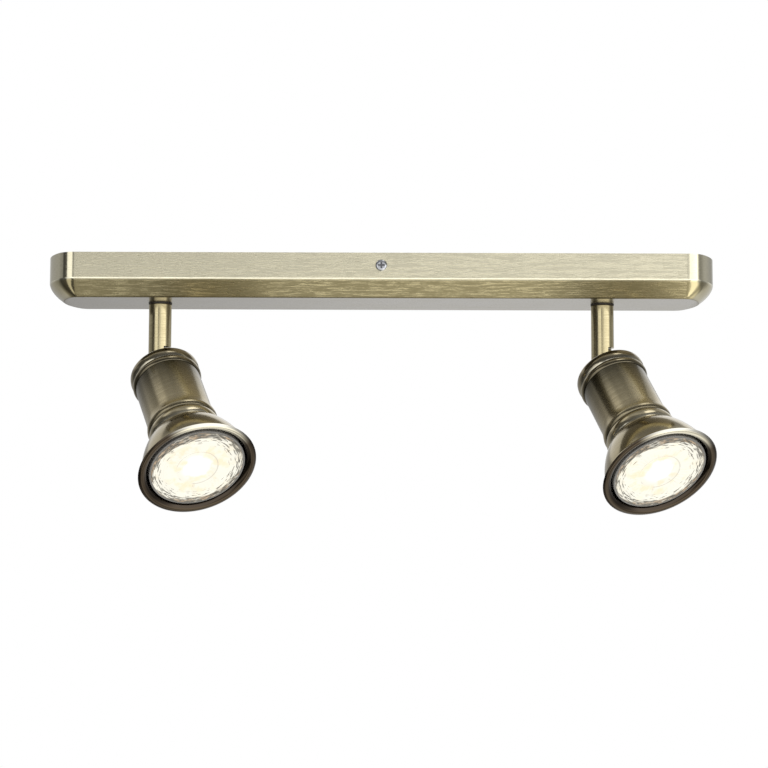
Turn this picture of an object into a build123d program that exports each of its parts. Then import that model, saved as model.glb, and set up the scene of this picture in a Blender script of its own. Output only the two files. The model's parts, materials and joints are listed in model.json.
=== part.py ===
"""Twin spotlight: a chamfered brass bar that carries two spot heads on swivelling stems.

Millimetres, +Z up. The origin is the middle of the plane that the bar is fixed to. The bar hangs below that
plane with its length along X and its front along -Y. The heads stand as they were photographed, turned to the
right and tipped towards the front. Distances in a head are measured from its tilt axis towards the lamp.
"""

import os
from math import atan2, cos, hypot, radians, sin, sqrt

from build123d import *

# Fits and gaps
running_fit = 0.05  # radial, round a shaft that turns
thread_fit = 0.05  # radial, round a thread drawn as a plain cylinder
push_fit = 0.05  # radial, where one tube pushes into another
slide_gap = 0.05  # between flat faces that turn on each other
rest_gap = 0.3  # between pieces that stop just short of each other

# Bar cover, folded from sheet
bar_length = 352.0
bar_width = 60.0
bar_wall_height = 13.7
bar_chamfer_height = 9.0
bar_chamfer_inset = 7.5
bar_end_radius = 45.0
bar_corner_radius = 10.0
bar_face_corner_radius = 6.0
bar_end_rise = 1.5  # how far the chamfer's middle stands out at the arched ends
bar_sheet = 1.0
bar_bend_radius = 0.5  # inside the two folds

# Mounting bracket and the screws that hold the cover to it
bracket_length = 110.0
bracket_width = 24.0
bracket_corner_radius = 3.0
bracket_sheet = 1.5
bracket_bend_radius = 0.6
bracket_tab_width = 18.0
bracket_tab_drop = 11.0
bracket_tab_gap = 0.3
fixing_slot_spacing = 72.0
fixing_slot_length = 12.0
fixing_slot_width = 4.5
cable_hole_x = 21.0
cable_hole_radius = 5.0
cover_screw_radius = 2.0
cover_screw_length = 9.0
cover_screw_head_radius = 3.1
cover_screw_head_height = 2.0
cross_recess_width = 0.9
cross_recess_span = 3.4
cross_recess_depth = 1.1

# Terminal block and earth point, under the bracket
pole_pitch = 8.0
pole_count = 3
block_depth = 17.0
block_base_height = 9.0
block_turret_height = 4.0
block_turret_gap = 1.6
block_turret_lip = 0.5
block_corner_radius = 1.0
insert_radius = 2.2
insert_bore_radius = 1.4
insert_inset = 1.0
wire_hole_drop = 5.5
terminal_screw_radius = 1.2
terminal_screw_head_radius = 1.7
terminal_screw_head_height = 1.8
terminal_screw_spacing = 9.0
terminal_well_radius = 2.0
block_screw_radius = 1.3
block_screw_head_radius = 2.2
block_screw_head_height = 1.6
earth_screw_x = -21.0
earth_screw_radius = 2.0
earth_screw_length = 4.5
earth_screw_head_radius = 3.4
earth_screw_head_height = 2.4
earth_washer_radius = 4.2
earth_washer_thickness = 0.8

# Leads in the bar
lead_radius = 1.1
lead_pair_gap = 0.6
lead_straight = 2.2
lead_inner_lane = 7.0  # beyond the terminal block
lead_outer_lane = 10.5
lead_step = 1.6  # inner lanes: live above and neutral below the terminals
lead_screw_gap = 0.6  # outer lanes pass below the cover's screws
lead_outer_step = 4.0  # and below each other
lead_turn_in = 32.0
lead_top_gap = 3.0
lead_bend_radius = 3.5
lead_entry_radius = 5.0

# Stem, its foot and the stop against twisting
stem_end_distance = 58.5  # from the bar's end to the stem
stem_radius = 6.0
stem_bore_radius = 3.0
spigot_radius = 5.0
spigot_flat_depth = 0.8
spigot_end = 0.9
pivot_drop = 30.7  # from the bar's front face to the tilt axis
foot_washer_radius = 6.2
foot_washer_thickness = 0.6
stop_plate_length = 34.0
stop_plate_width = 36.0
stop_plate_sheet = 1.0
stop_tab_width = 4.0
stop_tab_height = 4.5
stop_tab_reach = 13.0
stop_washer_radius = 8.5
stop_washer_thickness = 1.2
stop_tooth_width = 4.0
stop_tooth_overlap = 1.5
spring_washer_radius = 8.0
spring_washer_height = 1.4
spring_washer_sheet = 0.7
stem_nut_flats = 14.0
stem_nut_thickness = 3.0
sleeve_radius = 2.6

# Lap knuckle with a hollow for the leads round its screw
lug_radius = 7.2
lap_clearance = 0.15
lead_pocket_radius = 4.4
lead_pocket_depth = 3.0
pivot_boss_radius = 2.3
pivot_screw_radius = 1.5
pivot_screw_end = 0.5
pivot_head_radius = 2.7
pivot_head_height = 1.8
pivot_head_gap = 0.2
pivot_seat_depth = 2.6
pivot_slot_width = 0.8
pivot_slot_depth = 0.8
pivot_washer_thickness = 0.5
lug_nut_flats = 14.0
lug_nut_thickness = 3.0
lug_spigot_end = 0.8

# Spot head, turned and spun
cap_distance = 9.2  # from the tilt axis to the back of the cap
cap_wall = 2.0
cap_radius = 18.3
cap_shoulder_radius = 2.7
cap_ring_length = 6.5
cap_second_ring_length = 3.9
cap_inner_radius = 15.2
cap_spigot_length = 4.4
ring_rise = 0.85  # how far a ring stands out from its groove
barrel_radius = 17.3
barrel_wall = 1.4
barrel_length = 34.7
barrel_flank_length = 5.0
barrel_ring_length = 2.8
barrel_flank_rise = 1.1
neck_spigot_length = 4.9
neck_wall = 1.1
neck_ring_length = 6.0
bell_length = 24.2
bell_start_radius = 18.2
bell_end_radius = 28.1
bell_curve_radius = 48.0
bell_wall = 1.3
lip_length = 3.9
lip_radius = 30.6
lip_edge = 0.8

# Lampholder and its bracket
holder_radius = 13.0
holder_length = 17.0
holder_face = 2.4
holder_chamber_depth = 6.0
holder_screw_offset = 9.9
holder_screw_radius = 1.5
holder_screw_head_radius = 2.4
holder_screw_head_height = 1.6
holder_screw_gap = 0.2
holder_wire_radius = 3.0
strap_sheet = 1.0
strap_width = 8.0
strap_reach = 13.0
strap_foot = 6.6
contact_thickness = 0.6
contact_tail_radius = 0.9
contact_tail_length = 1.6

# Lamp with a two-pin twist base
lamp_recess = 0.9
lamp_length = 48.2
lamp_base_radius = 13.2
lamp_rim_radius = 24.8
lamp_rim_length = 3.8
lamp_flare_rise = 1.0
lamp_seat_gap = 0.2
lamp_wall = 1.0
pin_spacing = 10.0
pin_neck_radius = 1.5
pin_head_radius = 2.5
pin_neck_length = 3.3
pin_head_length = 3.0
pin_gap = 0.3
lamp_twist = 20.0  # turn from locked to free
led_radius = 8.5
led_thickness = 1.6
led_depth = 21.0
lens_thickness = 2.0
lens_cone_front_radius = 11.0
lens_cone_back_radius = 7.5
lens_gap = 0.1

# Where the heads point in the photograph: swivel from the front towards +X, tilt up from straight down
rest_swivel = {"left": 25.8, "right": 24.5}
rest_tilt = {"left": 43.6, "right": 42.4}

# Heights in the bar
bar_height = bar_wall_height + bar_chamfer_height
face_z = -bar_height
floor_z = face_z + bar_sheet
cover_screw_z = -bar_wall_height / 2
tab_y = bar_width / 2 - bar_sheet - bracket_tab_gap
block_base_z = -bracket_sheet - block_base_height
block_front_z = block_base_z - block_turret_height
wire_hole_z = -bracket_sheet - wire_hole_drop

# Places on a stem
stem_spacing = bar_length - 2 * stem_end_distance
stem_top_z = face_z - slide_gap - foot_washer_thickness
stop_plate_z = floor_z + stop_plate_sheet
stop_washer_z = stop_plate_z + slide_gap
spring_washer_z = stop_washer_z + stop_washer_thickness
stem_nut_z = spring_washer_z + spring_washer_height
spigot_top_z = stem_nut_z + stem_nut_thickness + spigot_end
pivot_z = face_z - pivot_drop
lap_shoulder = lug_radius + lap_clearance  # stem's shoulder, above the tilt axis
lug_shoulder = stem_radius + lap_clearance  # lug's shoulder, beyond the tilt axis
lead_channel_end = (pivot_boss_radius + lead_pocket_radius) / 2

# Distances along a head
strap_distance = cap_distance + cap_wall
lug_nut_distance = strap_distance + strap_sheet
lug_end_distance = lug_nut_distance + lug_nut_thickness + lug_spigot_end
barrel_distance = cap_distance + cap_ring_length + cap_second_ring_length
barrel_inner_radius = barrel_radius - barrel_wall
spigot_fit_radius = barrel_inner_radius - push_fit
shade_distance = barrel_distance + barrel_length
bell_distance = shade_distance + neck_ring_length
rim_distance = bell_distance + bell_length
bell_end_distance = rim_distance - lip_length
neck_inner_radius = spigot_fit_radius - neck_wall
lamp_face_distance = rim_distance - lamp_recess
lamp_base_distance = lamp_face_distance - lamp_length
holder_face_distance = lamp_base_distance - lamp_seat_gap
holder_back_distance = holder_face_distance - holder_length
chamber_distance = holder_face_distance - holder_face - holder_chamber_depth
strap_foot_distance = holder_back_distance - strap_sheet
led_distance = lamp_face_distance - led_depth


class Spot:
    """The planes and the axis that the pieces of one spot are drawn on."""

    def __init__(self, name, x):
        self.name = name
        self.foot = Plane((x, 0, 0))  # square to the bar
        self.stem = self.foot.rotated((0, 0, rest_swivel[name]))  # turned with the stem
        self.pivot = self.stem.offset(pivot_z)
        tilt = radians(rest_tilt[name])
        back = self.pivot.z_dir * cos(tilt) + self.pivot.y_dir * sin(tilt)  # away from the lamp
        self.head = Plane(self.pivot.origin, x_dir=self.pivot.x_dir, z_dir=back)
        self.across_stem = Plane(self.pivot.origin, x_dir=self.pivot.y_dir, z_dir=self.pivot.x_dir)
        self.across_head = Plane(self.pivot.origin, x_dir=self.head.y_dir, z_dir=self.head.x_dir)
        self.section = Plane(self.pivot.origin, x_dir=self.head.y_dir, z_dir=-self.head.x_dir)
        self.axis = Axis(self.pivot.origin, -self.head.z_dir)

    def at(self, distance):
        """The plane square to the head's axis at a distance from the tilt axis."""
        return self.head.offset(-distance)


spots = [Spot("left", -stem_spacing / 2), Spot("right", stem_spacing / 2)]


def save(piece, name):
    """Labels a finished piece and writes it."""
    piece.part.label = name
    export_step(piece.part, f"parts/{name}.step")


def bulge(start, end, rise):
    """Adds an arc whose middle stands outside the line from start to end."""
    ThreePointArc(start, ((start[0] + end[0]) / 2 + rise, (start[1] + end[1]) / 2), end)


def stack(plane, radius, amount, mode=Mode.ADD):
    """Adds or cuts a cylinder on a plane."""
    with BuildSketch(plane) as disc:
        Circle(radius)
    extrude(disc.sketch, amount=amount, mode=mode)


def ring(plane, outer, inner, amount, mode=Mode.ADD):
    """Adds or cuts a flat ring on a plane."""
    with BuildSketch(plane) as band:
        Circle(outer)
        Circle(inner, mode=Mode.SUBTRACT)
    extrude(band.sketch, amount=amount, mode=mode)


def cross_recess(plane):
    """Cuts a cross recess into a screw's head."""
    with BuildSketch(plane) as cross:
        Rectangle(cross_recess_span, cross_recess_width)
        Rectangle(cross_recess_width, cross_recess_span)
    extrude(cross.sketch, amount=-cross_recess_depth, mode=Mode.SUBTRACT)


def hex_nut(plane, flats, bore, thickness):
    """Adds a hexagonal nut on a plane."""
    with BuildSketch(plane) as hexagon:
        RegularPolygon(radius=flats / 2, side_count=6, major_radius=False)
        Circle(bore, mode=Mode.SUBTRACT)
    extrude(hexagon.sketch, amount=thickness)


def bar_plan(z, side_inset, end_inset, corner_radius):
    """The bar's plan at a height: straight sides, arched ends and rounded corners, moved in."""
    half_length = bar_length / 2 - end_inset
    half_width = bar_width / 2 - side_inset
    end_radius = bar_end_radius - end_inset
    corner_x = half_length - end_radius + sqrt(end_radius**2 - half_width**2)
    with BuildSketch(Plane.XY.offset(z)) as plan:
        with BuildLine():
            Line((-corner_x, half_width), (corner_x, half_width))
            ThreePointArc((corner_x, half_width), (half_length, 0), (corner_x, -half_width))
            Line((corner_x, -half_width), (-corner_x, -half_width))
            ThreePointArc((-corner_x, -half_width), (-half_length, 0), (-corner_x, half_width))
        make_face()
        fillet(plan.vertices(), radius=corner_radius)
    return plan.sketch


def bar_form(sheet):
    """One skin of the cover, a sheet's thickness inside the outer one, as a solid block.

    At a share u down the chamfer, its sides stand in by inset * u, and its ends by
    inset * u - 4 * rise * u * (1 - u). Inside a sheet of slope s the skin stands in by
    sheet * sqrt(1 + s**2) more.
    """
    side_slope = bar_chamfer_inset / bar_chamfer_height
    side_gap = sheet * hypot(1, side_slope)
    fold_depth = bar_wall_height - (side_gap - sheet) / side_slope
    floor_depth = bar_height - sheet
    sections = []
    for share in (0, 0.5, 1):
        depth = fold_depth + share * (floor_depth - fold_depth)
        u = (depth - bar_wall_height) / bar_chamfer_height
        end_slope = (bar_chamfer_inset - 4 * bar_end_rise * (1 - 2 * u)) / bar_chamfer_height
        end_inset = bar_chamfer_inset * u - 4 * bar_end_rise * u * (1 - u) + sheet * hypot(1, end_slope)
        corner_radius = bar_corner_radius + share * (bar_face_corner_radius - bar_corner_radius) - sheet
        side_inset = bar_chamfer_inset * u + side_gap
        sections.append(bar_plan(-depth, side_inset, end_inset if share else sheet, corner_radius))
    with BuildPart() as form:
        extrude(bar_plan(0, sheet, sheet, bar_corner_radius - sheet), amount=-fold_depth)
        loft(sections=sections)
        levels = form.edges().group_by(Axis.Z)
        face_fold, wall_fold = levels[0], levels[-3]
        fillet(face_fold + wall_fold, radius=bar_bend_radius + bar_sheet - sheet)
    return form.part


def build_bar_cover():
    """The folded cover: straight walls, a chamfer all round, arched ends, open at the back."""
    with BuildPart() as bar_cover:
        add(bar_form(0))
        add(bar_form(bar_sheet), mode=Mode.SUBTRACT)
        for spot in spots:
            stack(spot.foot.offset(face_z), spigot_radius + running_fit, bar_sheet, Mode.SUBTRACT)
        with BuildSketch(Plane.XZ):
            with Locations((0, cover_screw_z)):
                Circle(cover_screw_radius + rest_gap)
        extrude(amount=bar_width, both=True, mode=Mode.SUBTRACT)
    save(bar_cover, "bar_cover")


def build_mounting_bracket():
    """The strip that is screwed up first, with slots, a cable hole and two tapped tabs for the cover."""
    with BuildPart() as mounting_bracket:
        with BuildSketch():
            RectangleRounded(bracket_length, bracket_width, bracket_corner_radius)
            Rectangle(bracket_tab_width, 2 * tab_y)
            with GridLocations(fixing_slot_spacing, 0, 2, 1):
                SlotOverall(fixing_slot_length, fixing_slot_width, mode=Mode.SUBTRACT)
            with Locations((cable_hole_x, 0)):
                Circle(cable_hole_radius, mode=Mode.SUBTRACT)
            with Locations((earth_screw_x, 0)):
                Circle(earth_screw_radius + thread_fit, mode=Mode.SUBTRACT)
            with Locations((pole_pitch / 2, 0)):
                Circle(block_screw_radius + thread_fit, mode=Mode.SUBTRACT)
        extrude(amount=-bracket_sheet)
        with BuildSketch():
            with GridLocations(0, 2 * tab_y - bracket_sheet, 1, 2):
                Rectangle(bracket_tab_width, bracket_sheet)
        extrude(amount=-bracket_tab_drop)
        outer_folds = mounting_bracket.edges().filter_by(Axis.X).filter_by_position(Axis.Z, 0, 0)
        outer_folds = outer_folds.sort_by(Axis.Y)
        fillet([outer_folds[0], outer_folds[-1]], radius=bracket_sheet + bracket_bend_radius)
        inner_folds = mounting_bracket.edges().filter_by(Axis.X)
        inner_folds = inner_folds.filter_by_position(Axis.Z, -bracket_sheet, -bracket_sheet).sort_by(Axis.Y)
        fillet([inner_folds[0], inner_folds[-1]], radius=bracket_bend_radius)
        with BuildSketch(Plane.XZ):
            with Locations((0, cover_screw_z)):
                Circle(cover_screw_radius + thread_fit)
        extrude(amount=bar_width, both=True, mode=Mode.SUBTRACT)
    save(mounting_bracket, "mounting_bracket")


def build_cover_screws():
    """Two pan-head screws, through the cover's walls into the bracket's tabs."""
    with BuildPart() as cover_screws:
        for outward in (-1, 1):
            wall = Plane((0, outward * bar_width / 2, cover_screw_z), x_dir=(1, 0, 0), z_dir=(0, outward, 0))
            stack(wall, cover_screw_head_radius, cover_screw_head_height)
            stack(wall, cover_screw_radius, -cover_screw_length)
            top = cover_screws.edges().filter_by_position(
                Axis.Y,
                outward * (bar_width / 2 + cover_screw_head_height),
                outward * (bar_width / 2 + cover_screw_head_height),
            )
            fillet(top, radius=cover_screw_head_height * 0.6)
            cross_recess(wall.offset(cover_screw_head_height))
    save(cover_screws, "cover_screws")


def build_terminals():
    """A three-way block under the bracket, with its brass inserts and all its screws."""
    block_length = pole_pitch * pole_count
    well_depth = block_front_z - wire_hole_z
    bracket_face = Plane.XY.offset(-bracket_sheet)
    block_front = Plane.XY.offset(block_front_z)
    across = Plane.XZ
    with BuildPart() as terminal_block:
        with BuildSketch(bracket_face):
            RectangleRounded(block_length, block_depth, block_corner_radius)
        extrude(amount=-block_base_height)
        with BuildSketch(Plane.XY.offset(block_base_z)):
            with GridLocations(pole_pitch, 0, pole_count, 1):
                RectangleRounded(
                    pole_pitch - block_turret_gap,
                    block_depth - 2 * block_turret_lip,
                    block_corner_radius,
                )
        extrude(amount=-block_turret_height)
        with BuildSketch(across):
            with Locations((0, wire_hole_z)):
                with GridLocations(pole_pitch, 0, pole_count, 1):
                    Circle(insert_radius + push_fit)
        extrude(amount=block_depth, both=True, mode=Mode.SUBTRACT)
        with BuildSketch(block_front):
            with GridLocations(pole_pitch, terminal_screw_spacing, pole_count, 2):
                Circle(terminal_well_radius)
        extrude(amount=-well_depth, mode=Mode.SUBTRACT)
        with BuildSketch(bracket_face):
            with Locations((pole_pitch / 2, 0)):
                Circle(block_screw_radius + thread_fit)
        extrude(amount=-block_base_height, mode=Mode.SUBTRACT)
    save(terminal_block, "terminal_block")

    with BuildPart() as terminal_inserts:
        with BuildSketch(across):
            with Locations((0, wire_hole_z)):
                with GridLocations(pole_pitch, 0, pole_count, 1):
                    Circle(insert_radius)
                    Circle(insert_bore_radius, mode=Mode.SUBTRACT)
        extrude(amount=block_depth / 2 - insert_inset, both=True)
        with BuildSketch(block_front):
            with GridLocations(pole_pitch, terminal_screw_spacing, pole_count, 2):
                Circle(terminal_screw_radius + thread_fit)
        extrude(amount=-well_depth, mode=Mode.SUBTRACT)
    save(terminal_inserts, "terminal_inserts")

    head_z = wire_hole_z - insert_radius - rest_gap
    with BuildPart() as terminal_screws:
        with BuildSketch(Plane.XY.offset(head_z)):
            with GridLocations(pole_pitch, terminal_screw_spacing, pole_count, 2):
                Circle(terminal_screw_head_radius)
        extrude(amount=-terminal_screw_head_height)
        with BuildSketch(Plane.XY.offset(head_z)):
            with GridLocations(pole_pitch, terminal_screw_spacing, pole_count, 2):
                Circle(terminal_screw_radius)
        extrude(amount=insert_radius - insert_bore_radius + rest_gap)
    save(terminal_screws, "terminal_screws")

    with BuildPart() as terminal_fixing_screw:
        foot = Plane((pole_pitch / 2, 0, block_base_z))
        stack(foot, block_screw_radius, block_base_height + bracket_sheet)
        with BuildSketch(foot):
            SlotOverall(2 * block_screw_head_radius, block_turret_gap - 2 * push_fit, rotation=90)
        extrude(amount=-block_screw_head_height)
    save(terminal_fixing_screw, "terminal_fixing_screw")


def build_earth_screw():
    """The earth screw with its clamping washer, tapped into the bracket from below."""
    foot = Plane((earth_screw_x, 0, -bracket_sheet))
    with BuildPart() as earth_screw:
        stack(foot, earth_screw_radius, bracket_sheet)
        stack(foot, earth_washer_radius, -earth_washer_thickness)
        head = foot.offset(-earth_washer_thickness)
        stack(head, earth_screw_head_radius, -earth_screw_head_height)
        under = Plane(head.origin - (0, 0, earth_screw_head_height), z_dir=(0, 0, -1))
        cross_recess(under)
    save(earth_screw, "earth_screw")


def build_lead(name, points, radii):
    """One insulated lead: a round tube along straight runs and tangent bends."""
    with BuildPart() as lead:
        with BuildLine() as route:
            FilletPolyline(*points, radius=radii)
        with BuildSketch(Plane(route.line @ 0, z_dir=route.line % 0)):
            Circle(lead_radius)
        sweep(path=route.line)
    save(lead, name)


def build_bar_leads():
    """The live and neutral leads to each stem, and the lead to the earth point."""
    pole_x = {"live": -pole_pitch, "neutral": pole_pitch}
    inner_side = {"live": "left", "neutral": "right"}
    pair_step = lead_radius + lead_pair_gap / 2
    start_y = -block_depth / 2
    screw_lane_z = cover_screw_z - cover_screw_radius - lead_screw_gap - lead_radius
    inner_z = {"live": wire_hole_z + lead_step, "neutral": wire_hole_z - lead_step}
    outer_z = {"live": screw_lane_z, "neutral": screw_lane_z - lead_outer_step}
    for core in ("live", "neutral"):
        for spot, outward in zip(spots, (-1, 1)):
            inner = inner_side[core] == spot.name
            lane_y = start_y - (lead_inner_lane if inner else lead_outer_lane)
            lane_z = inner_z[core] if inner else outer_z[core]
            stem_y = pair_step if inner else -pair_step
            start_x = pole_x[core] + outward * pair_step
            stem_x = outward * stem_spacing / 2
            points = [
                (start_x, start_y, wire_hole_z),
                (start_x, start_y - lead_straight, wire_hole_z),
                (start_x, lane_y, lane_z),
                (stem_x - outward * lead_turn_in, lane_y, lane_z),
                (stem_x, stem_y, -lead_top_gap - lead_radius),
                (stem_x, stem_y, spigot_top_z + rest_gap),
            ]
            radii = [lead_bend_radius, lead_bend_radius, 2 * lead_bend_radius, lead_entry_radius]
            build_lead(f"{core}_lead_{spot.name}", points, radii)
    clamp_z = -bracket_sheet - lead_radius - rest_gap
    earth_lane_y = block_depth / 2 + lead_inner_lane
    points = [
        (0, block_depth / 2, wire_hole_z),
        (0, earth_lane_y, wire_hole_z),
        (earth_screw_x, earth_lane_y, clamp_z),
        (earth_screw_x, earth_washer_radius + rest_gap, clamp_z),
    ]
    build_lead("earth_lead", points, [lead_bend_radius, lead_bend_radius])


def build_stop_plate(spot):
    """A plate welded inside the cover's face that stiffens the stem's hole and carries the stop tab."""
    tab_foot = spot.foot.offset(floor_z)
    with BuildPart() as stop_plate:
        with BuildSketch(tab_foot):
            RectangleRounded(stop_plate_length, stop_plate_width, bracket_corner_radius)
            Circle(spigot_radius + running_fit, mode=Mode.SUBTRACT)
        extrude(amount=stop_plate_sheet)
        with BuildSketch(tab_foot):
            with Locations((0, stop_tab_reach - stop_plate_sheet / 2)):
                Rectangle(stop_tab_width, stop_plate_sheet)
        extrude(amount=stop_tab_height)
    save(stop_plate, f"stop_plate_{spot.name}")


def build_stem(spot):
    """A tube with a threaded spigot above and half of the lap knuckle below, hollow for the leads."""
    rod_end_z = pivot_z - stem_radius
    lap_face = spot.across_stem.offset(-slide_gap / 2)
    with BuildPart() as stem:
        stack(spot.stem.offset(stem_top_z), stem_radius, rod_end_z - stem_top_z)
        with BuildSketch(spot.stem.offset(stem_top_z)):
            Circle(spigot_radius)
            with Locations((0, -spigot_radius)):
                Rectangle(2 * spigot_radius, 2 * spigot_flat_depth, mode=Mode.SUBTRACT)
        extrude(amount=spigot_top_z - stem_top_z)
        with BuildSketch(spot.across_stem):
            with Locations((0, -stem_radius / 2)):
                Rectangle(2 * stem_radius, stem_radius)
            Circle(stem_radius, mode=Mode.SUBTRACT)
        extrude(amount=stem_radius, both=True, mode=Mode.SUBTRACT)
        with BuildSketch(lap_face):
            with Locations((0, (lap_shoulder - stem_radius) / 2)):
                Rectangle(2 * stem_radius, lap_shoulder + stem_radius)
        extrude(amount=stem_radius + slide_gap, mode=Mode.SUBTRACT)
        bore_depth = pivot_z + lead_channel_end - spigot_top_z
        stack(spot.stem.offset(spigot_top_z), stem_bore_radius, bore_depth, Mode.SUBTRACT)
        ring(lap_face, lead_pocket_radius, pivot_boss_radius, -lead_pocket_depth, Mode.SUBTRACT)
        stack(lap_face, pivot_screw_radius + thread_fit, -stem_radius, Mode.SUBTRACT)
    save(stem, f"stem_{spot.name}")


def build_stem_fixings(spot):
    """The washers and the nut that hold the stem in the bar, and the sleeved leads in its bore."""
    with BuildPart() as foot_washer:
        ring(
            spot.stem.offset(stem_top_z),
            foot_washer_radius,
            spigot_radius + thread_fit,
            foot_washer_thickness,
        )
    save(foot_washer, f"foot_washer_{spot.name}")

    tooth_reach = stop_tab_reach + stop_tooth_overlap
    with BuildPart() as stop_washer:
        with BuildSketch(spot.stem.offset(stop_washer_z)):
            Circle(stop_washer_radius)
            with Locations((0, -tooth_reach / 2)):
                Rectangle(stop_tooth_width, tooth_reach)
            Circle(spigot_radius + thread_fit, mode=Mode.SUBTRACT)
            with Locations((0, -spigot_radius)):
                Rectangle(2 * spigot_radius, 2 * (spigot_flat_depth - thread_fit))
            Circle(tooth_reach, mode=Mode.INTERSECT)
        extrude(amount=stop_washer_thickness)
    save(stop_washer, f"stop_washer_{spot.name}")

    with BuildPart() as spring_washer:
        with BuildSketch(Plane(spot.stem.origin, x_dir=spot.stem.x_dir, z_dir=-spot.stem.y_dir)):
            low = spring_washer_z
            high = spring_washer_z + spring_washer_height
            inner = spigot_radius + thread_fit
            with BuildLine():
                Polyline(
                    (inner, high),
                    (inner, high - spring_washer_sheet),
                    (spring_washer_radius, low),
                    (spring_washer_radius, low + spring_washer_sheet),
                    close=True,
                )
            make_face()
        revolve(axis=Axis(spot.stem.origin, spot.stem.z_dir))
    save(spring_washer, f"spring_washer_{spot.name}")

    with BuildPart() as stem_nut:
        hex_nut(
            spot.stem.offset(stem_nut_z),
            stem_nut_flats,
            spigot_radius + thread_fit,
            stem_nut_thickness,
        )
    save(stem_nut, f"stem_nut_{spot.name}")

    with BuildPart() as stem_lead:
        lowest_z = pivot_z + lap_shoulder + rest_gap
        stack(spot.stem.offset(lowest_z), sleeve_radius, spigot_top_z - lowest_z)
    save(stem_lead, f"stem_lead_{spot.name}")


def build_knuckle(spot):
    """The lug on the head's side of the lap knuckle, its nut, and the screw and washer of the tilt axis."""
    lap_face = spot.across_head.offset(slide_gap / 2)
    seat_x = lug_radius - pivot_seat_depth
    with BuildPart() as knuckle_lug:
        stack(spot.at(cap_distance), lug_radius, cap_distance + lug_radius)
        stack(spot.at(cap_distance), spigot_radius, cap_distance - lug_end_distance)
        with BuildSketch(spot.across_head):
            with Locations((0, lug_radius / 2)):
                Rectangle(2 * lug_radius, lug_radius)
            Circle(lug_radius, mode=Mode.SUBTRACT)
        extrude(amount=lug_radius, both=True, mode=Mode.SUBTRACT)
        with BuildSketch(lap_face):
            with Locations((0, (lug_radius - lug_shoulder) / 2)):
                Rectangle(2 * lug_radius, lug_radius + lug_shoulder)
        extrude(amount=-lug_radius - slide_gap, mode=Mode.SUBTRACT)
        bore_depth = lug_end_distance - lead_channel_end
        stack(spot.at(lug_end_distance), stem_bore_radius, bore_depth, Mode.SUBTRACT)
        ring(lap_face, lead_pocket_radius, pivot_boss_radius, lead_pocket_depth, Mode.SUBTRACT)
        stack(lap_face, pivot_screw_radius + running_fit, lug_radius, Mode.SUBTRACT)
        seat = spot.across_head.offset(seat_x)
        stack(seat, pivot_head_radius + pivot_head_gap, lug_radius, Mode.SUBTRACT)
    save(knuckle_lug, f"knuckle_lug_{spot.name}")

    with BuildPart() as lug_nut:
        hex_nut(
            spot.at(lug_nut_distance + lug_nut_thickness),
            lug_nut_flats,
            spigot_radius + thread_fit,
            lug_nut_thickness,
        )
    save(lug_nut, f"lug_nut_{spot.name}")

    washer_face = spot.across_stem.offset(seat_x + slide_gap)
    with BuildPart() as pivot_washer:
        ring(washer_face, pivot_head_radius, pivot_screw_radius + thread_fit, pivot_washer_thickness)
    save(pivot_washer, f"pivot_washer_{spot.name}")

    head_face = washer_face.offset(pivot_washer_thickness)
    with BuildPart() as pivot_screw:
        shank = seat_x + slide_gap + pivot_washer_thickness + stem_radius - pivot_screw_end
        stack(head_face, pivot_screw_radius, -shank)
        stack(head_face, pivot_head_radius, pivot_head_height)
        with BuildSketch(head_face.offset(pivot_head_height)):
            Rectangle(2 * pivot_head_radius, pivot_slot_width)
        extrude(amount=-pivot_slot_depth, mode=Mode.SUBTRACT)
    save(pivot_screw, f"pivot_screw_{spot.name}")

    with BuildPart() as head_lead:
        start = lug_shoulder + rest_gap
        end = holder_back_distance - rest_gap
        stack(spot.at(end), sleeve_radius, end - start)
    save(head_lead, f"head_lead_{spot.name}")


def bell_arc(inset):
    """Start, middle and end of the bell's long curve, moved in from the outside by an inset.

    The outside is an arc of bell_curve_radius from (bell_start_radius, bell_distance) to
    (bell_end_radius, bell_end_distance), and the other curves share its centre.
    """
    across = bell_end_radius - bell_start_radius
    along = bell_end_distance - bell_distance
    chord = hypot(across, along)
    rise = sqrt(bell_curve_radius**2 - chord**2 / 4)
    centre_r = (bell_start_radius + bell_end_radius) / 2 - rise * along / chord
    centre_t = (bell_distance + bell_end_distance) / 2 + rise * across / chord
    first = atan2(bell_distance - centre_t, bell_start_radius - centre_r)
    last = atan2(bell_end_distance - centre_t, bell_end_radius - centre_r)
    reach = bell_curve_radius - inset
    angles = (first, (first + last) / 2, last)
    return [(centre_r + reach * cos(angle), centre_t + reach * sin(angle)) for angle in angles]


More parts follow.
